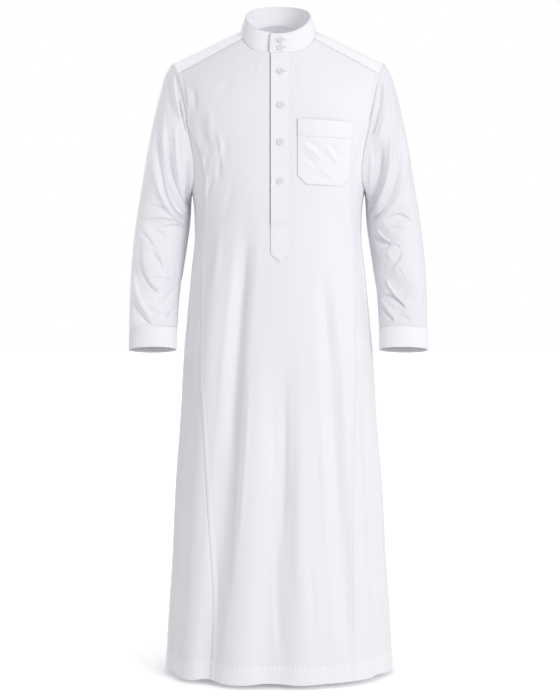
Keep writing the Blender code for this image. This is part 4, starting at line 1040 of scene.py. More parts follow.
# The large creases, as in the model: `row` counts SLEEVE's sections, `round` is degrees from the outer
# side to the front, and half-widths and depths are in metres.
LARGE_CREASES = {
    -1: read_table(
        "row_a round_a row_b round_b half depth",
        (3.2, 68, 5.9, 132, 0.020, 0.0065),
        (1.8, 96, 5.2, 142, 0.018, 0.0060),
        (2.2, 78, 5.2, 126, 0.016, -0.0070),
        (5.9, 62, 7.1, 104, 0.020, -0.0050),
        (7.6, 24, 8.9, 76, 0.022, -0.0060),
        (8.9, 28, 9.8, 74, 0.016, -0.0040),
        (8.3, 150, 9.4, 104, 0.018, -0.0040),
        (6.2, -60, 7.6, -130, 0.024, -0.0060),
        (3.5, -80, 5.6, -140, 0.022, 0.0060),
        (8.2, -40, 9.3, -110, 0.022, -0.0050),
    ),
    1: read_table(
        "row_a round_a row_b round_b half depth",
        (1.6, 62, 5.6, 138, 0.020, 0.0070),
        (2.2, 88, 5.4, 148, 0.016, -0.0070),
        (5.7, 64, 6.4, 104, 0.018, -0.0055),
        (6.2, 140, 7.2, 108, 0.022, -0.0055),
        (7.9, 140, 9.1, 84, 0.022, -0.0065),
        (7.8, 30, 9.2, 64, 0.020, 0.0045),
        (9.0, 126, 9.8, 92, 0.014, -0.0040),
        (5.9, -55, 7.3, -125, 0.024, -0.0060),
        (3.0, -75, 5.2, -135, 0.022, 0.0060),
        (8.4, -50, 9.4, -115, 0.022, -0.0050),
    ),
}

# Smaller creases on the front of each sleeve, in mm seen from the front: each is a curve from its first
# place to its last, pulled towards x_c and drop_c.
SLEEVE_CREASES = {
    -1: read_table(
        "x_a drop_a x_c drop_c x_b drop_b half_a half_b height lean crisp fade_a fade_b",
        # the cap: a fold beside the armhole, hollow on its outer side, and the leaf of cloth inside it
        (-217, 89, -217, 141, -197, 199, 5, 4, 5.0, -0.30, 0.45, 0.15, 0.25),
        (-230, 87, -232, 129, -218, 178, 9, 6, -5.0, -0.20, 0.10, 0.20, 0.35),
        (-209, 141, -203, 174, -191, 216, 4, 5, -5.0, 0.00, 0.40, 0.25, 0.15),
        (-207, 100, -201, 141, -191, 191, 4, 4, 2.6, 0.00, 0.30, 0.25, 0.25),
        # three folds nested one inside another, which sweep from the cap in to the crook of the elbow
        (-259, 153, -280, 349, -194, 408, 12, 7, 5.0, 0.00, 0.25, 0.30, 0.12),
        (-249, 145, -261, 378, -190, 397, 9, 5, -6.0, 0.00, 0.20, 0.25, 0.10),
        (-238, 141, -248, 345, -190, 383, 9, 5, 5.0, 0.00, 0.30, 0.30, 0.10),
        (-230, 191, -231, 326, -189, 370, 7, 5, -4.5, 0.00, 0.20, 0.30, 0.12),
        (-216, 182, -212, 270, -204, 337, 8, 7, 3.8, 0.00, 0.10, 0.35, 0.35),
        (-191, 239, -189, 322, -190, 376, 9, 7, -6.0, 0.00, 0.10, 0.35, 0.12),
        # the elbow
        (-297, 402, -259, 376, -211, 397, 8, 6, 4.0, 0.00, 0.25, 0.30, 0.25),
        (-280, 368, -252, 364, -225, 378, 7, 6, -3.0, 0.00, 0.10, 0.35, 0.30),
        (-295, 416, -280, 429, -264, 450, 9, 5, -4.5, 0.00, 0.10, 0.35, 0.15),
        (-246, 414, -223, 404, -192, 416, 5, 6, -4.0, 0.00, 0.35, 0.20, 0.20),
        (-263, 418, -249, 423, -236, 435, 4, 4, -2.2, 0.00, 0.30, 0.30, 0.30),
        (-266, 433, -243, 458, -237, 513, 12, 12, 3.2, 0.00, 0.10, 0.35, 0.35),
        (-272, 460, -255, 475, -241, 501, 7, 5, -3.8, 0.10, 0.20, 0.35, 0.20),
        # the forearm
        (-293, 425, -304, 526, -247, 549, 10, 4, -6.5, 0.10, 0.25, 0.30, 0.10),
        (-310, 492, -302, 564, -265, 604, 10, 6, 5.0, 0.00, 0.25, 0.35, 0.25),
        (-315, 539, -301, 592, -267, 615, 10, 4, -6.0, 0.00, 0.25, 0.30, 0.10),
        (-268, 520, -249, 511, -222, 526, 5, 4, -3.2, -0.40, 0.35, 0.20, 0.20),
        (-243, 564, -228, 547, -207, 530, 4, 5, -3.2, 0.20, 0.40, 0.20, 0.30),
        (-256, 579, -245, 562, -227, 581, 4, 4, -2.8, -0.20, 0.40, 0.20, 0.20),
        (-237, 606, -227, 589, -210, 577, 4, 5, -3.2, 0.20, 0.40, 0.20, 0.30),
        (-279, 581, -267, 583, -254, 594, 5, 4, -2.8, 0.00, 0.30, 0.30, 0.20),
        (-256, 589, -241, 581, -231, 596, 6, 5, 2.4, 0.00, 0.20, 0.30, 0.30),
        (-224, 484, -211, 501, -216, 530, 6, 6, -2.0, 0.00, 0.10, 0.35, 0.35),
        (-292, 564, -279, 556, -258, 566, 6, 6, -1.8, 0.00, 0.10, 0.35, 0.35),
    ),
    1: read_table(
        "x_a drop_a x_c drop_c x_b drop_b half_a half_b height lean crisp fade_a fade_b",
        # the cap: a leaf of cloth between the armhole and a curved crease
        (210, 95, 204, 141, 192, 191, 4, 4, 2.8, 0.00, 0.40, 0.20, 0.20),
        (214, 95, 225, 145, 190, 228, 4, 5, -5.0, 0.10, 0.45, 0.20, 0.12),
        (223, 108, 229, 166, 207, 232, 8, 9, 3.0, 0.00, 0.20, 0.25, 0.35),
        (239, 137, 240, 187, 234, 228, 4, 5, -1.6, 0.00, 0.20, 0.35, 0.40),
        # the long trough that sweeps in to the crook of the elbow, and the full folds on either side of it
        (250, 137, 281, 332, 191, 402, 9, 6, -6.0, 0.00, 0.15, 0.30, 0.10),
        (231, 153, 247, 307, 197, 387, 10, 7, 4.4, 0.00, 0.15, 0.30, 0.20),
        (265, 178, 293, 345, 193, 412, 11, 5, 4.6, 0.00, 0.25, 0.35, 0.10),
        (215, 224, 218, 311, 191, 381, 11, 8, -5.5, 0.00, 0.10, 0.35, 0.12),
        (196, 249, 194, 291, 190, 337, 7, 6, 2.6, 0.00, 0.10, 0.35, 0.30),
        # the elbow
        (220, 404, 256, 368, 283, 402, 6, 4, -4.6, -0.35, 0.30, 0.30, 0.15),
        (227, 414, 252, 399, 279, 416, 8, 7, 3.0, 0.00, 0.10, 0.35, 0.35),
        (208, 414, 216, 431, 237, 444, 6, 3.5, 4.4, 0.30, 0.55, 0.20, 0.15),
        (195, 429, 214, 444, 237, 446, 8, 4, -5.0, 0.10, 0.30, 0.35, 0.10),
        (223, 454, 241, 439, 260, 458, 5, 4.5, -3.8, -0.20, 0.30, 0.25, 0.20),
        (260, 458, 254, 488, 227, 503, 5, 6, -3.2, -0.20, 0.25, 0.25, 0.30),
        (227, 463, 237, 471, 240, 484, 9, 8, 2.2, 0.00, 0.10, 0.35, 0.35),
        (197, 448, 202, 471, 208, 496, 8, 8, -2.6, 0.00, 0.10, 0.35, 0.35),
        # the forearm
        (227, 520, 238, 551, 268, 577, 6, 3.5, 5.0, 0.35, 0.55, 0.15, 0.12),
        (215, 560, 240, 543, 268, 581, 8, 3.5, -6.0, -0.10, 0.30, 0.30, 0.08),
        (215, 560, 223, 577, 238, 592, 5, 4, 3.6, 0.30, 0.50, 0.20, 0.25),
        (215, 572, 228, 598, 243, 606, 7, 4, -4.6, 0.00, 0.30, 0.30, 0.10),
        (232, 564, 244, 572, 253, 585, 6, 5, 2.0, 0.00, 0.10, 0.30, 0.30),
        (307, 496, 308, 556, 266, 572, 7, 7, -2.2, 0.00, 0.20, 0.35, 0.30),
        (312, 543, 308, 589, 283, 611, 8, 6, -2.4, 0.00, 0.20, 0.35, 0.30),
        (245, 604, 261, 589, 285, 613, 4, 4, -2.6, -0.20, 0.35, 0.25, 0.25),
        (221, 619, 230, 609, 243, 604, 4, 4, -2.4, 0.00, 0.40, 0.20, 0.30),
        (250, 496, 259, 507, 265, 515, 5, 4, -1.6, 0.00, 0.20, 0.30, 0.30),
        (292, 412, 290, 433, 279, 448, 5, 5, -1.8, 0.00, 0.20, 0.30, 0.30),
    ),
}
# Smaller creases on the back and inner side of either sleeve, by section and degrees round.
SLEEVE_BACK_CREASES = read_table(
    "row_a round_a row_b round_b bow half_a half_b height lean crisp fade_a fade_b",
    (0.8, -62, 2.6, -72, 4, 8, 10, -2.8, 0.20, 0.20, 0.30, 0.45),
    (0.7, -84, 2.4, -104, -4, 7, 8, 2.6, 0.00, 0.45, 0.25, 0.40),
    (1.6, -108, 4.2, -138, 5, 8, 9, -3.4, 0.20, 0.30, 0.30, 0.35),
    (2.8, -48, 5.4, -76, -5, 9, 11, 2.6, 0.00, 0.20, 0.35, 0.45),
    (4.4, -64, 5.9, -128, 5, 8, 6, 4.0, -0.30, 0.55, 0.35, 0.20),
    (4.9, -58, 6.2, -118, 5, 8, 6, -3.6, 0.20, 0.30, 0.35, 0.20),
    (5.6, -40, 6.6, -96, 5, 9, 6, 3.2, 0.30, 0.45, 0.35, 0.25),
    (6.1, -150, 6.9, -92, 4, 8, 6, -3.4, 0.10, 0.35, 0.30, 0.25),
    (6.8, -34, 7.7, -84, -5, 9, 7, -3.4, 0.10, 0.30, 0.35, 0.30),
    (7.2, -146, 8.0, -98, 4, 7, 6, 3.4, 0.30, 0.50, 0.30, 0.25),
    (7.7, -60, 8.6, -112, 4, 8, 6, 3.6, 0.30, 0.50, 0.30, 0.25),
    (8.3, -28, 9.1, -70, -4, 8, 6, -3.6, 0.10, 0.30, 0.35, 0.25),
    (8.6, -132, 9.4, -92, 3, 6, 5, -3.2, 0.10, 0.40, 0.30, 0.25),
    (9.1, -48, 9.7, -88, 3, 6, 5, 2.8, 0.30, 0.45, 0.30, 0.30),
    (6.3, 168, 7.2, 142, 3, 6, 5, -2.6, 0.00, 0.30, 0.35, 0.35),
    (7.9, -166, 8.8, -188, 3, 7, 5, -2.6, 0.00, 0.30, 0.35, 0.35),
)


def armhole_loop(side):
    """The whole armhole and its outward directions: over the shoulder, down the back, under the arm."""
    end = -1 if side > 0 else 0
    back_rows = np.linspace(-YOKE_BACK_DROP, -BRANCH_DROP, 24)[:-1]
    back_run = body(turn_at(side * edge_half(back_rows), back_rows, front=False), back_rows)
    front_rows = np.linspace(-BRANCH_DROP, SHOULDER_SEAM_ARM[1], 26)[1:-1]
    front_run = body(turn_at(side * edge_half(front_rows), front_rows), front_rows)
    side_back, side_back_out = side_edges[side, False]
    side_front, side_front_out = side_edges[side, True]
    runs = (
        (yoke_bare[::-1, end][:-1], yoke_out[::-1, end][:-1]),
        back_run,
        (side_back[:0:-1], side_back_out[:0:-1]),
        (side_front[:0:-1], side_front_out[:0:-1]),
        front_run,
    )
    return tuple(np.concatenate(part) for part in zip(*runs))


def round_angles(loop):
    """Degrees round the sleeve of each armhole point: 0 on top, 90 in front, 180 under the arm."""
    step = np.linalg.norm(np.roll(loop, -1, axis=0) - loop, axis=1)
    length = np.concatenate([[0], np.cumsum(step)])
    top, low = int(np.argmax(loop[:, 2])), int(np.argmin(loop[:, 2]))
    from_top = (length[:-1] - length[top]) % length[-1]
    back_run = (length[low] - length[top]) % length[-1]
    behind = from_top / back_run * 180
    ahead = 180 + (from_top - back_run) / (length[-1] - back_run) * 180
    return -np.where(from_top <= back_run, behind, ahead)


def loop_at(loop, angles, degrees):
    """The armhole loop's values at these degrees round it."""
    order = np.argsort(angles)
    keys = angles[order]
    keys = np.concatenate([keys - 360, keys, keys + 360])
    rows = np.tile(loop[order], (3, 1))
    return np.stack([np.interp(degrees, keys, rows[:, axis]) for axis in range(3)], axis=-1)


def sleeve_section(side, section, degrees, power):
    """One ring of points from a section: outer and inner side, middle, depth and bend."""
    out_x, out_drop, in_x, in_drop, mid_y, depth, bend = section
    outside = np.array([out_x, mid_y, -out_drop])
    inside = np.array([in_x, mid_y, -in_drop])
    forward = np.array([0, -math.cos(math.radians(bend)), math.sin(math.radians(bend))])
    angle = np.radians(degrees)[:, None]
    across = (outside - inside) / 2 * signed_power(np.cos(angle), 2 / power)
    ring = (outside + inside) / 2 + across + forward * depth * signed_power(np.sin(angle), 2 / power)
    return ring * (side, 1, 1)


def sleeve_row(row):
    table = dict(SLEEVE, row=np.arange(len(SLEEVE["bend"]), dtype=float))
    return [float(smooth(table, "row", name, row)) for name in SLEEVE]


def along_grid(points, rows, degrees, row, angle):
    """The point of a sleeve's grid at this section and angle."""
    around = np.sort(degrees[:-2])
    column = np.interp((angle + 180) % 360 - 180, around, np.arange(len(around)))
    column = column if degrees[0] < 0 else len(around) - 1 - column
    low = min(int(column), len(around) - 2)
    ring = points[:, low] + (points[:, low + 1] - points[:, low]) * (column - low)
    return [np.interp(row, rows, ring[:, axis]) for axis in range(3)]


def large_creases(side, points, rows, degrees):
    total = np.zeros(points.shape[:2])
    for row_a, round_a, row_b, round_b, half, depth in zip(*LARGE_CREASES[side].values()):
        parts = np.linspace(0, 1, CREASE_STEPS + 1)
        places = zip(row_a + (row_b - row_a) * parts, round_a + (round_b - round_a) * parts)
        line = np.array([along_grid(points, rows, degrees, down, around) for down, around in places])
        far = np.linalg.norm(points[:, :, None] - line, axis=-1)
        nearest = far.argmin(axis=-1)
        strength = np.sin(math.pi * np.clip((nearest + 0.5) / len(line), 0, 1)) ** 0.5
        total += depth * strength * bump(far.min(axis=-1) / (CREASE_SPREAD * half))
    return total


# The creases of a sleeve's front stand this much fuller than their table says, unless that makes a narrow
# one higher than this share of its reach.
CREASE_FULLNESS = 1.2
STEEPEST_CREASE = 0.8
# A line along a sleeve's grid is bowed where one row is this long, and so is one degree round the sleeve.
ROW_STEP = 0.06
TURN_STEP = 0.0012


def softened(line, times=3):
    """The line with its corners rounded off."""
    for _ in range(times):
        line = np.concatenate([line[:1], (line[:-2] + 2 * line[1:-1] + line[2:]) / 4, line[-1:]])
    return line


def curved(first, toward, last):
    """Points on a quadratic curve from the first place to the last, pulled towards the middle one."""
    part = np.linspace(0, 1, CREASE_POINTS)[:, None]
    return (1 - part) ** 2 * first + 2 * part * (1 - part) * toward + part**2 * last


def small_creases(side, points, rows, degrees):
    """The creases of one sleeve's front, and those of its back and inner side."""
    out = grid_normals(points)
    total = np.zeros(points.shape[:2])
    ahead = np.tile((0.0, -1.0, 0.0), (CREASE_POINTS, 1))
    for row in zip(*SLEEVE_CREASES[side].values()):
        *places, half_a, half_b, height, lean, crisp, fade_a, fade_b = row
        first, toward, last = np.insert(np.reshape(places, (3, 2)) * (0.001, -0.001), 1, 0, axis=1)
        half = np.array([half_a, half_b]) / 1000
        steepest = max(abs(height), STEEPEST_CREASE * min(half_a, half_b))
        height = np.clip(CREASE_FULLNESS * height, -steepest, steepest)
        total += crease_shift(
            points * (1, 0, 1), curved(first, toward, last), ahead, half, height / 1000, lean, crisp,
            (fade_a, fade_b)
        )
    total *= ease(-2.2 * out[..., 1])
    for row in zip(*SLEEVE_BACK_CREASES.values()):
        row_a, round_a, row_b, round_b, bow, half_a, half_b, height, lean, crisp, fade_a, fade_b = row
        first, last = (row_a * ROW_STEP, round_a * TURN_STEP), (row_b * ROW_STEP, round_b * TURN_STEP)
        places = bowed(first, last, bow / 1000) / (ROW_STEP, TURN_STEP)
        line, line_out = (
            np.array([along_grid(grid, rows, degrees, down, around) for down, around in places])
            for grid in (points, out)
        )
        half = np.array([half_a, half_b]) / 1000
        total += crease_shift(
            points, softened(line), unit(line_out), half, height / 1000, side * lean, crisp, (fade_a, fade_b)
        )
    return total


SLEEVE_COLUMNS = 200
# The columns' angles from under the arm up the front and down the back, closer together in front.
sleeve_turn = np.linspace(180, -180, SLEEVE_COLUMNS)
SLEEVE_DEGREES = sleeve_turn + 22 * (1 + np.cos(np.radians(sleeve_turn)))
SLEEVE_LENGTH = 0.600
# The sleeves' poplin is the body's cloth in a darker tone: painted shade that dims the sleeves.
sleeve_poplin_painted_shade = poplin("poplin_sleeve_painted_shade", "E4E4EA")
sleeve_spacing = spaced(SLEEVE_LENGTH, 0.0012, 0.0031, 1.2) / SLEEVE_LENGTH * LAST_ROW
for side in (-1, 1):
    word = "left" if side > 0 else "right"
    loop, loop_out = armhole_loop(side)
    tangent = unit(np.roll(loop, -1, axis=0) - np.roll(loop, 1, axis=0))
    away = unit(np.cross(loop_out, tangent))
    if np.sum(away * (loop.mean(axis=0) - loop)) < 0:
        away = -away
    angles = round_angles(loop)
    degrees = np.append(SLEEVE_DEGREES[::side], (-181.2 * side, -182.4 * side))
    seam = loop_at(loop, angles, degrees)
    seam_away, seam_out = (unit(loop_at(part, angles, degrees)) for part in (away, loop_out))
    rings = np.array([sleeve_section(side, sleeve_row(row), degrees, SLEEVE_POWER) for row in sleeve_spacing])
    fade = 1 - ease(sleeve_spacing / CAP_ROWS)
    points = rings + (seam - rings[0]) * fade[:, None, None]
    ends = ease(sleeve_spacing / 1.5) * ease((LAST_ROW - sleeve_spacing) / 0.5)
    large = large_creases(side, points, sleeve_spacing, degrees) * ends[:, None]
    points = points + grid_normals(points) * large[..., None]
    near_seam = ease(sleeve_spacing / 0.35) * ease((LAST_ROW - sleeve_spacing) / 0.12)
    small = small_creases(side, points, sleeve_spacing, degrees) * near_seam[:, None]
    from_cap = lengths(points, 0)
    to_cuff = from_cap[-1:] - from_cap
    around = lengths(points, 1)
    to_last = around[:, -3:-2] - around
    relief = (
        small
        + lapped(around)
        + tucked(to_last)
        + drape(points, 0.0004)
        + puckers(around, from_cap, 0.012, 0.00035, 0.012, side)
        + puckers(around, to_cuff, SLEEVE_GATHER, 0.00070, 0.010, 2.0 * side)
        + tucked(to_cuff - UNDERLAP)
    )
    points = points + grid_normals(points) * relief[..., None]
    # The cloth dips into the seam at the armhole and runs on beneath the body's edge.
    dip = (0.0012 * (1 - ease(from_cap / 0.004)))[..., None]
    points = points - grid_normals(points) * dip
    points[0] = seam + seam_away * 0.0004 - seam_out * 0.0010
    under = seam - seam_away * UNDERLAP - seam_out * 0.0013
    points = np.concatenate([under[None], points])
    cloth = shell(f"sleeve_{word}_cloth", points, POPLIN, sleeve_poplin_painted_shade)
    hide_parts(f"sleeve_{word}")
    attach(cloth, "root")

# ================================================================ cuffs
# A plain doubled band of the same poplin with interfacing, folded at its lower edge. Its upper edge is
# lapped over the gathered foot of the sleeve, and both edges are topstitched.

CUFF_COLUMNS = 120
CUFF_POWER = 2.10
CUFF_END = (0.3172, 0.6715, 0.2155, 0.6705, -0.0560, 0.0345, 17)
CUFF_CLOTH = 0.0018


def rounded(edge, cloth):
    """How far a thick piece's face lies in and how thick it is, this far from its rounded edge."""
    half = cloth / 2
    share = np.sqrt(1 - np.clip(1 - edge / half, 0, 1) ** 2)
    return -half * (1 - share), cloth * np.maximum(share, 0.08)


# The cuffs' poplin is the body's cloth in a darker tone: painted shade, wherever the band is thinner than two
# layers of cloth.
cuff_poplin_painted_shade = poplin("poplin_cuff_painted_shade", "E5E5EA")
cuff_parts = spaced(0.043, 0.00012, 0.0026, 1.5) / 0.043
for side in (-1, 1):
    word = "left" if side > 0 else "right"
    degrees = side * np.linspace(180, -180, CUFF_COLUMNS)
    start, end = np.array(sleeve_row(LAST_ROW)), np.array(CUFF_END)
    rings = [sleeve_section(side, start + (end - start) * part, degrees, CUFF_POWER) for part in cuff_parts]
    points = np.array(rings)
    out = grid_normals(points)
    out[:, [0, -1]] = unit(out[:, :1] + out[:, -1:])
    around, from_top = lengths(points, 1), lengths(points, 0)
    to_end = from_top[-1:] - from_top
    waves = 2 * math.pi / around[:, -1:]  # whole waves round the cuff meet at its seam
    edge_shift, thick = rounded(np.minimum(from_top, to_end), CUFF_CLOTH)
    relief = (
        edge_shift
        - 0.00035 * bump((to_end - 0.0045) / 0.0014)
        - 0.00035 * bump((from_top - 0.0022) / 0.0014)
        + 0.00022 * np.sin(around * waves * 29 + side) * np.exp(-from_top / 0.006)
        + 0.00018 * np.sin(around * waves * 19) * np.exp(-to_end / 0.007)
        + 0.0008 * np.sin(around * waves * 2 + side)
        + 0.0006
    )
    points = points + out * relief[..., None]
    cloth = shell(f"cuff_{word}_cloth", points, thick, cuff_poplin_painted_shade, out=out, ring=True)
    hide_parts(f"cuff_{word}")
    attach(cloth, "root")
    sew_along("cuff", below_edge(points, 0, 0.0022))
    sew_along("cuff", below_edge(points, -1, 0.0045))

# ================================================================ collar
# A plain stand-up band, two layers of poplin over a stiff interfacing. It is sewn to the neck seam, its
# rim is edge-stitched, and its end on the wearer's left laps over the other and buttons to it.

RIM_HALF = 0.0680
RIM_DEPTH = 0.0565
RIM_Y = -0.0163
RIM_HEIGHT = (0.02675, -0.0305, -0.00425)  # mean, front-to-back and twice-round parts
COLLAR_BELLY = 0.0012
COLLAR_CLEAR = 0.0011
COLLAR_CLOTH = 0.0020
COLLAR_UNDER_END = 15.0
COLLAR_TOP_END = 373.5
COLLAR_TUCK = 0.0072
COLLAR_TUCK_RUN = (5, 44)
RIM_STITCH = 0.0024
BASE_STITCH = 0.0026


def collar_rim(degrees):
    angle = np.radians(degrees)
    mean, once, twice = RIM_HEIGHT
    x = RIM_HALF * np.sin(angle)
    y = RIM_Y - RIM_DEPTH * np.cos(angle)
    z = mean + once * np.cos(angle) + twice * np.cos(2 * angle)
    return np.stack([x, y, z], axis=-1)


def collar_band(degrees, parts, tuck=0.0):
    """Outer points of the band, base row first, and the directions out of the neck."""
    base_out = shoulder_normal(*neckline(degrees))
    base = over_shoulder(*neckline(degrees)) + base_out * COLLAR_CLEAR
    rim = collar_rim(degrees)
    out = unit((base - (0, RIM_Y, 0)) * (1, 1, 0))
    belly = COLLAR_BELLY * np.sin(math.pi * parts)
    shift = belly[:, None] - tuck
    points = base + (rim - base) * parts[:, None, None] + out * shift[..., None]
    return points, grid_normals(points)


collar_turn = np.arange(COLLAR_UNDER_END, -COLLAR_TOP_END, -1.75)
collar_turn = np.concatenate([
    COLLAR_UNDER_END - np.array([0, 0.06, 0.2, 0.5, 1.0]),
    collar_turn[1:-1],
    -COLLAR_TOP_END + np.array([1.0, 0.6, 0.35, 0.15, 0.05, 0]),
])  # fmt: skip
collar_parts = spaced(0.042, 0.00010, 0.0017, 1.5) / 0.042
run_start, run_end = COLLAR_TUCK_RUN
under = 1 - ease((-collar_turn - run_start) / (run_end - run_start))
points, out = collar_band(collar_turn, collar_parts, COLLAR_TUCK * under)
from_base, from_end = lengths(points, 0), lengths(points, 1)
to_rim = from_base[-1:] - from_base
to_top_end = from_end[:, -1:] - from_end
to_collar_edge = np.minimum(np.minimum(to_rim, to_top_end), np.minimum(from_end, from_base + 0.0004))
edge_shift, thick = rounded(to_collar_edge, COLLAR_CLOTH)
relief = (
    edge_shift
    - 0.00034 * bump((to_rim - RIM_STITCH) / 0.0013)
    - 0.00034 * bump((from_base - BASE_STITCH) / 0.0013)
    - 0.00034 * bump((to_top_end - RIM_STITCH) / 0.0013)
    + puckers(from_end, to_rim, 0.0052, 0.00016, 0.0035, 0.8)
    + puckers(from_end, from_base, 0.0080, 0.00020, 0.0050, 2.3)
    + 0.00045 * (1 - ease((to_top_end - 0.010) / 0.016))
    + drape(points, 0.00030)
)
# Inside, the seam allowance makes a ridge along the base, stitched through.
allowance = 0.0008 * (1 - ease((from_base - 0.0060) / 0.0016))
inner_ridge = allowance - 0.0005 * bump((from_base - BASE_STITCH) / 0.0016)
collar_points = points + out * relief[..., None]
# The collar's poplin is the body's cloth in a darker tone: painted shade, wherever the band is thinner than
# two layers of cloth.
collar_poplin_painted_shade = poplin("poplin_collar_painted_shade", "E2E2E7")
collar_thick = thick + inner_ridge * (thick > 0.0015)
collar_cloth = shell("collar_cloth", collar_points, collar_thick, collar_poplin_painted_shade, out=out)
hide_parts("collar")
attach(collar_cloth, "root")
edge_columns = np.arange(4, len(collar_turn) - 4)
sew_along("collar", below_edge(collar_points, -1, RIM_STITCH, edge_columns))
sew_along("collar", beside_edge(collar_points, -1, RIM_STITCH, np.arange(8, len(collar_parts) - 8)))
inner_points = (collar_points - out * (thick + inner_ridge)[..., None])[:, ::-1]
sew_along("collar", below_edge(inner_points, 0, BASE_STITCH, edge_columns))
sew_along("collar", below_edge(inner_points, -1, RIM_STITCH, edge_columns))

# ================================================================ plackets
# The opening's pointed strip is three layers of poplin, folded, interfaced and topstitched all round. A
# narrower strip behind the slit carries the buttons. Two rows of stitching close it off above the point.

PLACKET_TIP = 0.0045
PLACKET_CLOTH = 0.0016
PLACKET_LIFT = 0.0006
PLACKET_CORNER_DROP = 0.463
PLACKET_TIP_DROP = 0.479
PLACKET_TOP_CLEAR = 0.0008
UNDER_PLACKET_DROP = 0.452
PLACKET_STITCH = 0.0030
BOX_DROPS = (0.3985, 0.4055)


def on_front(x, z, lift):
    """Points over the front panel at these x and heights, lifted off it, and the directions outwards."""
    points, out = body(turn_at(x, z), z)
    shift = body_creases(points) + drape(points, 0.00035) + lift
    return points + out * shift[..., None], out


def placket_low(x):
    """Height of the strip's lower edge: a point on its middle line."""
    half = (PLACKET_RIGHT - PLACKET_LEFT) / 2
    point = 1 - np.abs(x - PLACKET_TIP) / half
    return -PLACKET_CORNER_DROP - (PLACKET_TIP_DROP - PLACKET_CORNER_DROP) * point


placket_x = PLACKET_LEFT + spaced(PLACKET_WIDTH, 0.00012, 0.0026, 1.45)
placket_top_z = front_top(placket_x) - PLACKET_TOP_CLEAR
straight = -PLACKET_CORNER_DROP + 0.012
strip_run = spaced(0.44, 0.0003, 0.0036, 1.4, "first")[:-1] / 0.44
point_run = spaced(0.02, 0.0001, 0.0015, 1.45, "last") / 0.02
placket_z = np.concatenate([
    placket_top_z + (straight - placket_top_z) * strip_run[:, None],
    straight + (placket_low(placket_x) - straight) * point_run[:, None],
])  # fmt: skip
placket_across = np.broadcast_to(placket_x, placket_z.shape)
slant = math.cos(math.atan2(PLACKET_TIP_DROP - PLACKET_CORNER_DROP, PLACKET_WIDTH / 2))
to_point = (placket_z - placket_low(placket_x)) * slant
to_left, to_right = placket_across - PLACKET_LEFT, PLACKET_RIGHT - placket_across
from_top = placket_top_z - placket_z
to_edge = np.minimum(np.minimum(to_left, to_right), to_point)
edge_shift, thick = rounded(np.minimum(to_edge, from_top + 0.0005), PLACKET_CLOTH)
top_fold = bump((from_top - 0.0095 - 0.08 * to_left) / 0.0050)
box = sum(bump((-placket_z - drop) / 0.0021) for drop in BOX_DROPS)
opening_shadow = 0.0006 * (1 - ease(to_left / 0.010)) * ease((0.42 + placket_z) / 0.03)
relief = (
    PLACKET_LIFT + PLACKET_CLOTH + edge_shift + opening_shadow
    - 0.00036 * bump((to_edge - PLACKET_STITCH) / 0.0013)
    - 0.00115 * box * ease(to_edge / 0.002) + 0.0010 * bump((-placket_z - BOX_DROPS[0] + 0.0052) / 0.0050)
    + puckers(-placket_z, to_edge, 0.0095, 0.00022, 0.0045, 0.7)
    + 0.0016 * top_fold * ease(to_left / 0.006) - 0.0008 * bump((from_top - 0.0045) / 0.0040)
    + 0.00030 * np.sin(-placket_z * 2 * math.pi / 0.037 + 1.3 * np.sin(-placket_z * 31)) * (to_left > 0.002)
)  # fmt: skip
placket_points, out = on_front(placket_across, placket_z, relief)
placket_poplin = poplin("poplin_placket", "ECECF1")
placket_cloth = shell("placket_top_cloth", placket_points, thick, placket_poplin, out=out)
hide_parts("placket_top")
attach(placket_cloth, "root")

stitch_low = placket_low(placket_x) + PLACKET_STITCH / slant
inside = (placket_x > PLACKET_LEFT + PLACKET_STITCH) & (placket_x < PLACKET_RIGHT - PLACKET_STITCH)
stitch_lift = PLACKET_LIFT + PLACKET_CLOTH
rows = np.linspace(-0.062, -PLACKET_CORNER_DROP - 0.0005, 130)
for x in (PLACKET_LEFT + PLACKET_STITCH, PLACKET_RIGHT - PLACKET_STITCH):
    sew_along("placket", on_front(np.full(len(rows), x), rows, stitch_lift - 0.0001)[0])
sew_along("placket", on_front(placket_x[inside], stitch_low[inside], stitch_lift - 0.0001)[0])
for drop in BOX_DROPS:
    across = np.linspace(PLACKET_LEFT + PLACKET_STITCH, PLACKET_RIGHT - PLACKET_STITCH, 20)
    sew_along("placket", on_front(across, np.full(20, -drop), stitch_lift - 0.0001)[0])

under_x = PLACKET_LEFT + spaced(PLACKET_TIP - PLACKET_LEFT, 0.0006, 0.0030)
under_top = front_top(under_x) - 0.0050
under_z = under_top + (-UNDER_PLACKET_DROP - under_top) * (spaced(0.4, 0.0006, 0.0048) / 0.4)[:, None]
under_across = np.broadcast_to(under_x, under_z.shape)
below = -sunk_by(under_across - PLACKET_LEFT, under_z) - POPLIN - PLACKET_LIFT
points, out = on_front(under_across, under_z, below)
under_cloth = shell("placket_under_cloth", points, 2 * POPLIN, placket_poplin)
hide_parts("placket_under")
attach(under_cloth, "root")

# ================================================================ chest pocket
# A patch of one layer with its upper edge turned down in a deep band and its lower corners cut off at a
# slant. It is stitched down close to its edges, and its mouth stands open a little.

POCKET_LEFT = 0.040
POCKET_RIGHT_TOP = 0.154
POCKET_RIGHT_BOTTOM = 0.147
POCKET_TOP_DROPS = (0.183, 0.190)
POCKET_LOW_DROPS = (0.318, 0.323)
POCKET_CORNER = 0.018
POCKET_LIFT = 0.0013
POCKET_BAND = 0.036
POCKET_BULGE = 0.0020
POCKET_CLOTH = 0.0009
POCKET_BAND_CLOTH = 0.0023
POCKET_STITCH = 0.0018
BAND_STITCH = 0.0075  # from the side edges to the upright stitching in the band

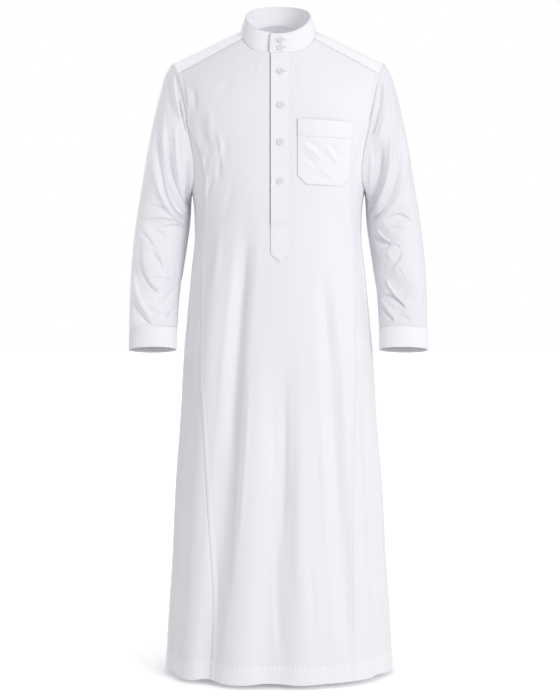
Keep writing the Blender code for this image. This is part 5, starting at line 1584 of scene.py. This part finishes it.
POCKET_CREASES = read_table(
    "x_a drop_a x_b drop_b bow half_a half_b height lean crisp fade_a fade_b",
    (46, 234, 95, 273, 3, 8, 10, 2.3, 0.00, 0.15, 0.25, 0.35),
    (54, 225, 93, 258, 3, 7, 9, -1.8, 0.00, 0.10, 0.30, 0.30),
    (96, 236, 130, 280, -3, 7, 9, 2.4, 0.00, 0.15, 0.30, 0.35),
    (106, 232, 132, 268, -3, 6, 8, -2.2, 0.00, 0.15, 0.30, 0.30),
    (48, 258, 82, 284, 2, 6, 8, -1.9, 0.00, 0.15, 0.20, 0.35),
    (80, 279, 124, 312, -2, 8, 9, 2.0, 0.00, 0.10, 0.35, 0.25),
    (60, 292, 96, 312, 2, 8, 8, -1.0, 0.00, 0.00, 0.35, 0.35),
    (66, 190, 84, 216, 1, 8, 8, 0.7, 0.00, 0.10, 0.40, 0.40),
)

height = POCKET_LOW_DROPS[0] - POCKET_TOP_DROPS[0]
downs = np.concatenate([
    spaced(POCKET_BAND, 0.00015, 0.0030, 1.5)[:-1],
    POCKET_BAND + spaced(height - POCKET_BAND, 0.00025, 0.0032, 1.4),
])[:, None] / height  # fmt: skip
acrosses = spaced(0.11, 0.00015, 0.0028, 1.45) / 0.11
right = POCKET_RIGHT_TOP + (POCKET_RIGHT_BOTTOM - POCKET_RIGHT_TOP) * downs
cut = 1 - POCKET_CORNER / height
inset = POCKET_CORNER * np.maximum(0, (downs - cut) / (1 - cut))
pocket_x = POCKET_LEFT + inset + (right - POCKET_LEFT - 2 * inset) * acrosses
pocket_top = np.interp(acrosses, (0, 1), POCKET_TOP_DROPS)
pocket_low = np.interp(acrosses, (0, 1), POCKET_LOW_DROPS)
pocket_z = -(pocket_top + (pocket_low - pocket_top) * downs)
from_top = downs * height + 0 * acrosses
to_low = height - from_top
to_side = np.minimum(pocket_x - POCKET_LEFT - inset, right - inset - pocket_x)
to_sewn = np.minimum(to_side, to_low)
to_cut = np.minimum(to_sewn, from_top)
in_band = ease((POCKET_BAND - from_top) / 0.0005 + 0.5)
edge_shift, thick = rounded(to_cut, POCKET_CLOTH + (POCKET_BAND_CLOTH - POCKET_CLOTH) * in_band)
bulge = POCKET_BULGE * np.sin(math.pi * acrosses) ** 0.8 * np.cos(math.pi / 2 * downs)
relief = (
    POCKET_LIFT + thick + edge_shift * 0.2 + bulge * ease(to_side / 0.012)
    - 0.00036 * bump((to_sewn - POCKET_STITCH) / 0.0012)
    - 0.00050 * bump((from_top - POCKET_BAND + 0.0020) / 0.0014)
    - 0.0009 * bump((from_top - POCKET_BAND - 0.0008) / 0.0024)
    - 0.00060 * bump((to_side - BAND_STITCH) / 0.0014) * in_band
    + puckers(from_top + pocket_x, to_sewn, 0.0090, 0.00028, 0.0080, 1.2)
    + puckers(pocket_x, np.abs(from_top - POCKET_BAND), 0.0105, 0.00020, 0.0060, 0.2)
)  # fmt: skip
flat_points, out = on_front(pocket_x, pocket_z, 0.0)
inside = ease(to_sewn / 0.012) * ease(from_top / 0.010)
for row in zip(*POCKET_CREASES.values()):
    x_a, drop_a, x_b, drop_b, bow, half_a, half_b, crease, lean, crisp, fade_a, fade_b = row
    places = bowed((x_a / 1000, -drop_a / 1000), (x_b / 1000, -drop_b / 1000), bow / 1000)
    line, line_out = on_front(places[:, 0], places[:, 1], 0.0)
    half = np.array([half_a, half_b]) / 1000
    fades = (fade_a, fade_b)
    relief += inside * crease_shift(flat_points, line, line_out, half, crease / 1000, lean, crisp, fades)
pocket_points = flat_points + out * relief[..., None]
pocket_poplin = poplin("poplin_pocket", "EAEAEF")
pocket_cloth = shell("chest_pocket_cloth", pocket_points, thick, pocket_poplin, out=out)
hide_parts("chest_pocket")
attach(pocket_cloth, "root")
rows_of_band = np.flatnonzero((from_top[:, 0] > 0.003) & (from_top[:, 0] < POCKET_BAND - 0.003))
for edge_column in (0, -1):
    sew_along("pocket", beside_edge(pocket_points, edge_column, POCKET_STITCH, np.arange(6, len(downs) - 6)))
    sew_along("pocket", beside_edge(pocket_points, edge_column, BAND_STITCH, rows_of_band))
sew_along("pocket", below_edge(pocket_points, -1, POCKET_STITCH, np.arange(6, len(acrosses) - 6)))
sew_along("pocket", below_edge(pocket_points, 0, POCKET_BAND - 0.0020, np.arange(6, len(acrosses) - 6)))

# ================================================================ buttons
# Six turned white polyester shirt buttons, four on the placket and two on the collar, each with a raised
# rim, a dished face and four holes, sewn on with crossed thread. Beside each shows its buttonhole.

BUTTON_RADIUS = 0.0067
BUTTON_HEIGHT = 0.0030
BUTTON_CLEAR = 0.0005
PLACKET_BUTTON_DROPS = (0.087, 0.156, 0.231, 0.311)
COLLAR_BUTTON_DEGREES = 3.0
COLLAR_BUTTON_HEIGHTS = (0.66, 0.27)
BUTTON_HOLE_RADIUS = 0.00070
BUTTON_HOLE_PLACE = 0.00165  # of each hole's middle from the button's, in x and y
BUTTON_SIDES = 48

# The turned face from its foot over the rim to the middle of the dish, as parts of radius and height.
BUTTON_OUTLINE = read_table(
    "radius height",
    (0.78, 0.02),
    (0.90, 0.10),
    (0.985, 0.28),
    (1.00, 0.45),
    (0.995, 0.66),
    (0.965, 0.86),
    (0.905, 0.97),
    (0.845, 0.995),
    (0.790, 0.955),
    (0.735, 0.84),
    (0.680, 0.72),
    (0.600, 0.655),
    (0.450, 0.625),
    (0.250, 0.610),
)


def moulded_button():
    """Glossy white polyester, turned and polished: brighter than the cloth, with a clear highlight on its
    rim and a faint pearly cloud in it."""
    material = bpy.data.materials.new("polyester_button")
    material.use_nodes = True
    tree = material.node_tree
    shader = tree.nodes["Principled BSDF"]
    place = add_node(tree, "ShaderNodeTexCoord")
    cloud = add_node(tree, "ShaderNodeTexNoise", {"Vector": place.outputs["Object"], "Scale": 260.0,
                     "Detail": 3.0})  # fmt: skip
    tone = add_node(tree, "ShaderNodeMix", {0: cloud.outputs["Fac"], 6: linear("DCDCE1"),
                    7: linear("E8E8EC")}, data_type="RGBA")  # fmt: skip
    tree.links.new(tone.outputs[2], shader.inputs["Base Color"])
    shader.inputs["Roughness"].default_value = 0.22
    shader.inputs["IOR"].default_value = 1.55
    shader.inputs["Coat Weight"].default_value = 0.30
    shader.inputs["Coat Roughness"].default_value = 0.10
    return material


def turned_face():
    """A button about its own Z axis: the lathe outline, with four holes bored through."""
    blank = bmesh.new()
    angles = np.arange(BUTTON_SIDES) * 2 * math.pi / BUTTON_SIDES
    rings = []
    for radius, height in zip(*BUTTON_OUTLINE.values()):
        spread, rise = radius * BUTTON_RADIUS, height * BUTTON_HEIGHT
        rings.append([blank.verts.new((spread * math.cos(a), spread * math.sin(a), rise)) for a in angles])
    blank.faces.new(rings[0][::-1])
    blank.faces.new(rings[-1])
    for low, high in zip(rings, rings[1:]):
        for step in range(BUTTON_SIDES):
            after = (step + 1) % BUTTON_SIDES
            blank.faces.new((low[step], low[after], high[after], high[step]))
    mesh = bpy.data.meshes.new("button_blank")
    blank.to_mesh(mesh)
    blank.free()
    button = bpy.data.objects.new("button_blank", mesh)
    bpy.context.scene.collection.objects.link(button)
    drill = bmesh.new()
    for x in (-BUTTON_HOLE_PLACE, BUTTON_HOLE_PLACE):
        for y in (-BUTTON_HOLE_PLACE, BUTTON_HOLE_PLACE):
            placed = Matrix.Translation((x, y, BUTTON_HEIGHT / 2))
            bmesh.ops.create_cone(drill, cap_ends=True, segments=14, radius1=BUTTON_HOLE_RADIUS,
                                  radius2=BUTTON_HOLE_RADIUS, depth=3 * BUTTON_HEIGHT,
                                  matrix=placed)  # fmt: skip
    cutter_mesh = bpy.data.meshes.new("button_drill")
    drill.to_mesh(cutter_mesh)
    drill.free()
    cutter = bpy.data.objects.new("button_drill", cutter_mesh)
    bpy.context.scene.collection.objects.link(cutter)
    bored = button.modifiers.new("holes", "BOOLEAN")
    bored.object = cutter
    graph = bpy.context.evaluated_depsgraph_get()
    face = bpy.data.meshes.new_from_object(button.evaluated_get(graph), depsgraph=graph)
    for helper in (button, cutter):
        bpy.data.objects.remove(helper)
    return face


def facing(place, out):
    """A matrix that stands a button's Z axis along `out` at this place, its Y axis upwards."""
    right = unit(np.cross((0, 0, 1), out))
    up = np.cross(out, right)
    turn = Matrix(np.array([right, up, out]).T.tolist()).to_4x4()
    return Matrix.Translation(Vector(place)) @ turn


button_places = {}
for number, drop in enumerate(PLACKET_BUTTON_DROPS, 1):
    lift = PLACKET_LIFT + PLACKET_CLOTH + BUTTON_CLEAR
    spot, spot_out = on_front(np.array([PLACKET_TIP]), np.array([-drop]), lift)
    button_places[f"placket_{number}"] = (spot[0], spot_out[0])
at_button = np.array([1.0, 0.0, -1.0]) + COLLAR_BUTTON_DEGREES - 360
for number, part in enumerate(COLLAR_BUTTON_HEIGHTS, 1):
    spot, spot_out = collar_band(at_button, part + np.array([-0.02, 0.0, 0.02]))
    button_places[f"collar_{number}"] = (spot[1, 1] + spot_out[1, 1] * BUTTON_CLEAR, spot_out[1, 1])

button_plastic = moulded_button()
button_face = turned_face()
for name, (place, out) in button_places.items():
    mesh = button_face.copy()
    mesh.transform(facing(place, out))
    mesh.shade_smooth()
    mesh.set_sharp_from_angle(angle=math.radians(50))
    mesh.materials.clear()
    mesh.materials.append(button_plastic)
    button = bpy.data.objects.new(f"button_{name}_turned", mesh)
    bpy.context.scene.collection.objects.link(button)
    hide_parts(f"button_{name}")
    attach(button, "root")

# ================================================================ sewing
# All of it is spun white polyester thread. Topstitching is nine stitches to 25 mm, and a buttonhole is a
# narrow loop of close satin stitches, worked across its cut edges.

STITCH_PITCH = 0.0028
STITCH_LENGTH = 0.0021
THREAD_RADIUS = 0.00023
HOLE_LENGTH = 0.0165
HOLE_HALF = 0.0010
HOLE_SHIFT = 0.0040  # of the buttonhole's middle from its button's


def spun_thread(name, colour):
    """Spun polyester thread: white, a little brighter and shinier than the cloth, with its ply twist too
    fine to see but for a slight unevenness."""
    material = bpy.data.materials.new(name)
    material.use_nodes = True
    tree = material.node_tree
    shader = tree.nodes["Principled BSDF"]
    place = add_node(tree, "ShaderNodeTexCoord")
    twist = add_node(tree, "ShaderNodeTexNoise", {"Vector": place.outputs["Object"], "Scale": 900.0})
    tone = add_node(tree, "ShaderNodeMix", {0: twist.outputs["Fac"], 6: linear("DFDFE5"), 7: linear(colour)},
                    data_type="RGBA")  # fmt: skip
    tree.links.new(tone.outputs[2], shader.inputs["Base Color"])
    shader.inputs["Roughness"].default_value = 0.45
    shader.inputs["Sheen Weight"].default_value = 0.15
    return material


def stitch_tree():
    """Lays one short length of thread at each step along every line, slanted a little and uneven."""
    tree = bpy.data.node_groups.new("topstitch", "GeometryNodeTree")
    face = tree.interface
    face.new_socket("Geometry", in_out="INPUT", socket_type="NodeSocketGeometry")
    for name, kind in (("Pitch", "Float"), ("Stitch length", "Float"), ("Thread radius", "Float"),
                       ("Turn", "Float"), ("Seed", "Int"), ("Thread", "Material")):  # fmt: skip
        face.new_socket(name, in_out="INPUT", socket_type=f"NodeSocket{kind}")
    face.new_socket("Geometry", in_out="OUTPUT", socket_type="NodeSocketGeometry")
    given = add_node(tree, "NodeGroupInput").outputs
    line = add_node(tree, "GeometryNodeMeshToCurve", {"Mesh": given["Geometry"]})
    steps = add_node(tree, "GeometryNodeResampleCurve", {"Curve": line.outputs["Curve"],
                     "Length": given["Pitch"]}, mode="LENGTH")  # fmt: skip
    ball = add_node(tree, "GeometryNodeMeshIcoSphere", {"Radius": 1.0, "Subdivisions": 1})
    size = add_node(tree, "ShaderNodeCombineXYZ", {"X": given["Stitch length"], "Y": given["Thread radius"],
                    "Z": given["Thread radius"]})  # fmt: skip
    uneven = add_node(tree, "FunctionNodeRandomValue", {"Seed": given["Seed"], "Min": (0.85, 0.85, 0.85),
                      "Max": (1.1, 1.15, 1.15)}, data_type="FLOAT_VECTOR")  # fmt: skip
    scale = add_node(tree, "ShaderNodeVectorMath", {0: size.outputs[0], 1: uneven.outputs[0]},
                     operation="MULTIPLY")  # fmt: skip
    tangent = add_node(tree, "GeometryNodeInputTangent")
    along = add_node(tree, "FunctionNodeAlignRotationToVector", {"Vector": tangent.outputs[0]}, axis="X")
    outward = add_node(tree, "GeometryNodeInputNamedAttribute", {"Name": "out"}, data_type="FLOAT_VECTOR")
    upright = add_node(tree, "FunctionNodeAlignRotationToVector", {"Rotation": along.outputs[0],
                       "Vector": outward.outputs[0]}, axis="Z", pivot_axis="X")  # fmt: skip
    slant = add_node(tree, "ShaderNodeCombineXYZ", {"Z": given["Turn"]})
    turned = add_node(tree, "FunctionNodeEulerToRotation", {"Euler": slant.outputs[0]})
    laid = add_node(tree, "FunctionNodeRotateRotation", {"Rotation": upright.outputs[0],
                    "Rotate By": turned.outputs[0]}, rotation_space="LOCAL")  # fmt: skip
    placed = add_node(tree, "GeometryNodeInstanceOnPoints", {"Points": steps.outputs[0],
                      "Instance": ball.outputs[0], "Rotation": laid.outputs[0],
                      "Scale": scale.outputs[0]})  # fmt: skip
    real = add_node(tree, "GeometryNodeRealizeInstances", {0: placed.outputs[0]})
    smooth_faces = add_node(tree, "GeometryNodeSetShadeSmooth", {0: real.outputs[0]})
    sewn = add_node(tree, "GeometryNodeSetMaterial", {"Geometry": smooth_faces.outputs[0],
                    "Material": given["Thread"]})  # fmt: skip
    add_node(tree, "NodeGroupOutput", {0: sewn.outputs[0]})
    return tree


def sew(name, lines, material, pitch, length, turn=0.12):
    """Turns lines of (points, outward directions) into one mesh of stitches."""
    points = np.concatenate([line for line, _ in lines])
    outs = np.concatenate([line_out for _, line_out in lines])
    starts = np.cumsum([0] + [len(line) for line, _ in lines])
    edges = [(i, i + 1) for first, last in zip(starts, starts[1:]) for i in range(first, last - 1)]
    mesh = bpy.data.meshes.new(name)
    mesh.from_pydata(points.tolist(), edges, [])
    outward = mesh.attributes.new("out", "FLOAT_VECTOR", "POINT")
    outward.data.foreach_set("vector", outs.astype(np.float32).ravel())
    guide = bpy.data.objects.new(name + "_guide", mesh)
    bpy.context.scene.collection.objects.link(guide)
    modifier = guide.modifiers.new("sewing", "NODES")
    modifier.node_group = topstitch
    sizes = {"Pitch": pitch, "Stitch length": length / 2, "Thread radius": THREAD_RADIUS, "Turn": turn,
             "Seed": 5, "Thread": material}  # fmt: skip
    for socket in topstitch.interface.items_tree:
        if socket.in_out == "INPUT" and socket.name in sizes:
            modifier[socket.identifier] = sizes[socket.name]
    graph = bpy.context.evaluated_depsgraph_get()
    sewn = bpy.data.meshes.new_from_object(guide.evaluated_get(graph), depsgraph=graph)
    bpy.data.objects.remove(guide)
    thread = bpy.data.objects.new(name, sewn)
    bpy.context.scene.collection.objects.link(thread)
    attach(thread, "root")
    return thread


def line_outs(line):
    """Rough outward directions along a line of stitching, away from the middle of the body."""
    return unit((line - (0, 0, 0)) * (1, 1, 0) + (0, 0, 1e-4))


topstitch = stitch_tree()
thread_white = spun_thread("thread_white", "F6F6FA")
for thread_name, lines in SEWING.items():
    stitched = sew(f"stitching_{thread_name}", [(line, line_outs(line)) for line in lines], thread_white,
                   STITCH_PITCH, STITCH_LENGTH)  # fmt: skip

loops = []
for name, (place, out) in button_places.items():
    middle = place - out * (BUTTON_CLEAR - 0.0001)
    right = unit(np.cross((0, 0, 1), out))
    up = np.cross(out, right)
    angle = np.linspace(0, 2 * math.pi, 61)
    reach = HOLE_LENGTH / 2 * signed_power(np.cos(angle), 0.35)
    rise = HOLE_HALF * signed_power(np.sin(angle), 0.6)
    loop = middle + right * (HOLE_SHIFT + reach)[:, None] + up * rise[:, None]
    loops.append((loop, np.repeat(out[None], len(loop), axis=0)))
buttonholes = sew("buttonholes", loops, thread_white, 0.00042, 0.0015, math.pi / 2)
crossings = []
for name, (place, out) in button_places.items():
    right = unit(np.cross((0, 0, 1), out))
    up = np.cross(out, right)
    top = place + out * (0.625 * BUTTON_HEIGHT + 0.0001)
    for level in (-BUTTON_HOLE_PLACE, BUTTON_HOLE_PLACE):
        for shift in (-0.00022, 0.00022):
            part = np.linspace(-1, 1, 7)
            arch = 0.0003 * (1 - part**2) - 0.0006 * part**8
            crossing = right * (BUTTON_HOLE_PLACE * part)[:, None]
            line = top + crossing + up * (level + shift) + out * arch[:, None]
            crossings.append((line, np.repeat(out[None], len(line), axis=0)))
button_thread = sew("button_thread", crossings, thread_white, 0.0006, 0.0014, 0.0)

# ================================================================ studio
# A seamless white paper sweep with the robe's hem just clear of it, a broad soft key from the wearer's
# front left, a much weaker fill from their right, and an even white room. Four small lamps light only
# some pieces. The camera looks a little down.

FLOOR_DROP = 1.3795
FLOOR_HALF = 6
CAMERA_PLACE = (0.0037, -4.2, -0.1918)
CAMERA_PITCH = 6.6  # degrees below level
FRAME_HEIGHT_PX = 700
FOCAL_PX = 1966
SENSOR = 36.0


def painted_glow_floor():
    """Matt white background paper with a painted glow: it reads as pure white except beneath and close around
    the hem.
    """
    material = bpy.data.materials.new("background_paper_painted_glow")
    material.use_nodes = True
    tree = material.node_tree
    shader = tree.nodes["Principled BSDF"]
    place = add_node(tree, "ShaderNodeTexCoord")
    grain = add_node(tree, "ShaderNodeTexNoise", {"Vector": place.outputs["Object"], "Scale": 40.0})
    tone = add_node(tree, "ShaderNodeMix", {0: grain.outputs["Fac"], 6: linear("F4F4F6"),
                    7: linear("F8F8FA")}, data_type="RGBA")  # fmt: skip
    tree.links.new(tone.outputs[2], shader.inputs["Base Color"])
    shader.inputs["Roughness"].default_value = 0.9
    shader.inputs["Emission Color"].default_value = linear("FFFFFF")
    # Painted glow, set by distance from the robe: none beneath the hem, which leaves a painted shadow there,
    # and enough further out to read as pure white and wash out the robe's cast shadow.
    flat = add_node(tree, "ShaderNodeVectorMath", {0: place.outputs["Object"], 1: (1, 1.4, 0)},
                    operation="MULTIPLY")  # fmt: skip
    reach = add_node(tree, "ShaderNodeVectorMath", {0: flat.outputs[0]}, operation="LENGTH")
    near, far = (
        add_node(tree, "ShaderNodeMapRange", {"Value": reach.outputs["Value"], 1: low, 2: high, 4: glow},
                 interpolation_type="SMOOTHSTEP").outputs[0]
        for low, high, glow in ((0.10, 0.34, 0.32), (0.30, 0.80, 0.27))
    )  # fmt: skip
    total = add_node(tree, "ShaderNodeMath", {0: near, 1: far}, operation="ADD")
    tree.links.new(total.outputs[0], shader.inputs["Emission Strength"])
    return material


floor_mesh = bpy.data.meshes.new("floor")
floor_corners = [
    (x * FLOOR_HALF, y * FLOOR_HALF, -FLOOR_DROP) for x, y in ((-1, -1), (1, -1), (1, 1), (-1, 1))
]
floor_mesh.from_pydata(floor_corners, [], [(0, 1, 2, 3)])
floor = bpy.data.objects.new("floor", floor_mesh)
floor_mesh.materials.append(painted_glow_floor())
bpy.context.scene.collection.objects.link(floor)
floor.visible_diffuse = False  # the room's own light stands for what the paper throws back


def softbox(name, place, aim, size, watts, colour):
    """A soft lamp, as wide and high as given, turned towards a place."""
    lamp = bpy.data.lights.new(name, "AREA")
    lamp.shape = "RECTANGLE"
    lamp.size, lamp.size_y = size
    lamp.energy = watts
    lamp.color = linear(colour)[:3]
    holder = bpy.data.objects.new(name, lamp)
    toward = unit(np.subtract(aim, place))
    holder.location = place
    holder.rotation_euler = (math.acos(-toward[2]), 0, math.atan2(-toward[0], toward[1]))
    bpy.context.scene.collection.objects.link(holder)
    return holder


softbox("key", (3.35, -3.88, 1.1), (0, 0, -0.6), (1.9, 2.3), 118, "FFFFFF")
softbox("fill", (-2.6, -2.6, 0.3), (0, 0, -0.7), (2.0, 2.4), 4, "FFFFFF")
# Four flagged lamps, each reaching only the pieces named: the collar from within, the sleeve turned away
# from the key, the shoulders from above, and the back.
for name, place, aim, size, watts, reached in (
    ("inside", (0.03, -0.07, -0.27), (-0.01, 0.05, 0.04), (0.12, 0.10), 0.31, ["collar", "yoke", "back"]),
    ("rim", (-3.3, -2.2, 0.1), (-0.26, -0.03, -0.35), (1.0, 1.4), 20, ["sleeve_right"]),
    ("top", (-1.2, -0.8, 1.5), (-0.1, 0, -0.05), (1.2, 0.8), 7.5, ["yoke"]),
    ("back", (-2.0, 4.5, 0.9), (0, 0, -0.6), (1.6, 2.2), 55,
     ["back", "side_back_left", "side_back_right", "yoke", "collar", "sleeve_left", "sleeve_right"]),
):  # fmt: skip
    lamp = softbox(name, place, aim, size, watts, "FFFFFF")
    lamp.light_linking.receiver_collection = bpy.data.collections.new(name)
    for piece in reached:
        lamp.light_linking.receiver_collection.objects.link(bpy.data.objects[piece + "_cloth"])

world = bpy.data.worlds.new("white_room")
world.use_nodes = True
bpy.context.scene.world = world
room = world.node_tree
room.nodes.clear()
lit = add_node(room, "ShaderNodeBackground", {"Color": linear("FFFFFF"), "Strength": 0.71})
seen = add_node(room, "ShaderNodeBackground", {"Color": linear("FFFFFF"), "Strength": 1.0})
path = add_node(room, "ShaderNodeLightPath")
both = add_node(room, "ShaderNodeMixShader", {0: path.outputs["Is Camera Ray"], 1: lit.outputs[0],
                2: seen.outputs[0]})  # fmt: skip
add_node(room, "ShaderNodeOutputWorld", {"Surface": both.outputs[0]})

camera_data = bpy.data.cameras.new("camera")
camera_data.sensor_width = SENSOR
camera_data.lens = FOCAL_PX / FRAME_HEIGHT_PX * SENSOR
camera = bpy.data.objects.new("camera", camera_data)
camera.location = CAMERA_PLACE
camera.rotation_euler = (math.radians(90 - CAMERA_PITCH), 0, 0)
bpy.context.scene.collection.objects.link(camera)
bpy.context.scene.camera = camera
bpy.context.scene.view_settings.view_transform = "Standard"

bpy.context.view_layer.update()
